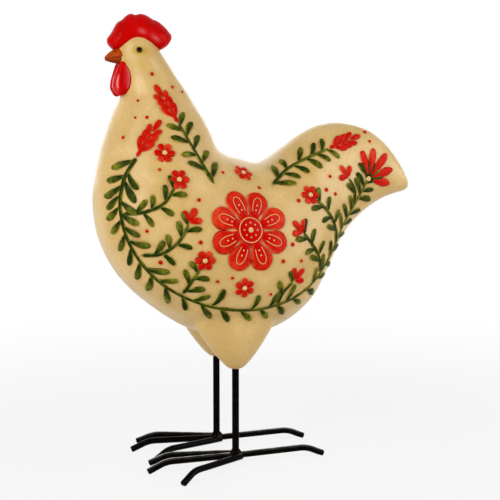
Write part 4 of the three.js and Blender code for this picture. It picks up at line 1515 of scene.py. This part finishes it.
class HEN_OT_stage(bpy.types.Operator):
    """Sets up the camera, the softboxes, the pale floor and the white surroundings"""

    bl_idname = "hen.stage"
    bl_label = "Stage"

    # The camera's place from the middle between the feet, its direction, lens and sensor
    CAMERA = Vector((-216.4, -719.4, 223.3))
    YAW = math.radians(18.1)
    PITCH = math.radians(-5.5)
    LENS = 75.17
    SENSOR = 36
    # Each softbox: its place in metres, width, height and power
    SOFTBOXES = {
        "left_softbox": ((-0.88, -0.58, 0.5), 0.68, 1.1, 9.6),
        "right_softbox": ((0.92, -0.6, 0.5), 0.75, 0.95, 8.8),
        "back_softbox": ((0.1, 1.1, 0.7), 1.6, 1.1, 6.0),
    }
    AMBIENT = 0.1
    WHITE = (1, 1, 1, 1)
    FLOOR_SIZE = 6
    # How white the floor looks, near the object and away from it, and the distances in metres
    VEIL = (0.84, 1)
    VEIL_REACH = (0.15, 0.7)

    def execute(self, context):
        scene = context.scene
        scene.view_settings.view_transform = "Standard"
        self.camera(scene)
        middle = (CAD_BOX[0] + CAD_BOX[1]) / 2
        for name, (spot, width, height, power) in self.SOFTBOXES.items():
            lamp = bpy.data.lights.new(name, "AREA")
            lamp.shape = "RECTANGLE"
            lamp.size = width
            lamp.size_y = height
            lamp.energy = power
            softbox = bpy.data.objects.new(name, lamp)
            softbox.location = spot
            aim(softbox, middle)
            scene.collection.objects.link(softbox)
        self.floor(scene.hen.paints)
        self.surroundings(scene)
        return {"FINISHED"}

    def camera(self, scene):
        lens = bpy.data.cameras.new("view")
        lens.lens = self.LENS
        lens.sensor_width = self.SENSOR
        camera = bpy.data.objects.new("view", lens)
        camera.location = LEG_LINE + self.CAMERA * MM
        level = math.cos(self.PITCH)
        ahead = Vector((math.sin(self.YAW) * level, math.cos(self.YAW) * level, math.sin(self.PITCH)))
        aim(camera, camera.location + ahead)
        scene.collection.objects.link(camera)
        scene.camera = camera

    def floor(self, paints):
        """A pale floor, seen as white paper that keeps the object's shadow and fades into the background."""
        bm = bmesh.new()
        bmesh.ops.create_grid(bm, x_segments=2, y_segments=2, size=self.FLOOR_SIZE)
        floor = link_mesh(bm, "floor")
        finish = Finish("floor_paper")
        nodes, links = finish.nodes, finish.links
        tint = finish.mix(finish.noise(3, 2), paints.floor, paints.floor_light)
        finish.shade(Base_Color=tint, Roughness=0.9, Specular_IOR_Level=0.1)
        away = nodes.new("ShaderNodeVectorMath")
        away.operation = "LENGTH"
        links.new(finish.object_place, away.inputs[0])
        fade = finish.spread(away.outputs["Value"], *self.VEIL_REACH, *self.VEIL)
        veil = finish.maths("MULTIPLY", seen_directly(nodes, links), fade)
        white = nodes.new("ShaderNodeEmission").outputs["Emission"]
        choose(nodes, links, veil, finish.shader.outputs["BSDF"], white, "Material Output")
        floor.data.materials.append(finish.material)

    def surroundings(self, scene):
        """Soft light from all round, which looks white where it is seen."""
        world = bpy.data.worlds.new("studio")
        scene.world = world
        world.use_nodes = True
        nodes, links = world.node_tree.nodes, world.node_tree.links
        light, white = nodes["Background"], nodes.new("ShaderNodeBackground")
        for background in (light, white):
            background.inputs["Color"].default_value = self.WHITE
        light.inputs["Strength"].default_value = self.AMBIENT
        backgrounds = [background.outputs["Background"] for background in (light, white)]
        choose(nodes, links, seen_directly(nodes, links), *backgrounds, "World Output")


# Registration


class HenSettings(bpy.types.PropertyGroup):
    """All settings of the hen."""

    body: PointerProperty(type=HenBodySizes, name="Body", description="Sizes of the body and head pieces")
    feet: PointerProperty(type=HenFootSizes, name="Feet", description="Sizes of the legs and feet")
    relief: PointerProperty(type=HenReliefSizes, name="Relief", description="Sizes of the raised ornament")
    paints: PointerProperty(type=HenPaints, name="Paints", description="Colours of the paints")


OPERATORS = (
    HEN_OT_stage,
    HEN_OT_body,
    HEN_OT_plug,
    HEN_OT_comb,
    HEN_OT_wattles,
    HEN_OT_beak,
    HEN_OT_eyes,
    HEN_OT_relief,
    HEN_OT_legs,
    HEN_OT_toes,
    HEN_OT_welds,
)


class HEN_PT_panel(bpy.types.Panel):
    """Lists the hen's pieces and settings in the sidebar"""

    bl_idname = "HEN_PT_panel"
    bl_label = "Painted hen"
    bl_space_type = "VIEW_3D"
    bl_region_type = "UI"
    bl_category = "Hen"

    def draw(self, context):
        hen = context.scene.hen
        for operator in OPERATORS:
            self.layout.operator(operator.bl_idname)
        for group in (hen.body, hen.feet, hen.relief, hen.paints):
            box = self.layout.box()
            for name in group.bl_rna.properties.keys():
                if name not in ("rna_type", "name"):
                    box.prop(group, name)


CLASSES = (
    HenBodySizes,
    HenFootSizes,
    HenReliefSizes,
    HenPaints,
    HenSettings,
    *OPERATORS,
    HEN_PT_panel,
)


def register():
    for item in CLASSES:
        bpy.utils.register_class(item)
    bpy.types.Scene.hen = PointerProperty(type=HenSettings)


def unregister():
    del bpy.types.Scene.hen
    for item in reversed(CLASSES):
        bpy.utils.unregister_class(item)


def main():
    register()
    for operator in OPERATORS:
        group, name = operator.bl_idname.split(".")
        getattr(getattr(bpy.ops, group), name)()
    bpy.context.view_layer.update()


if __name__ == "__main__":
    main()
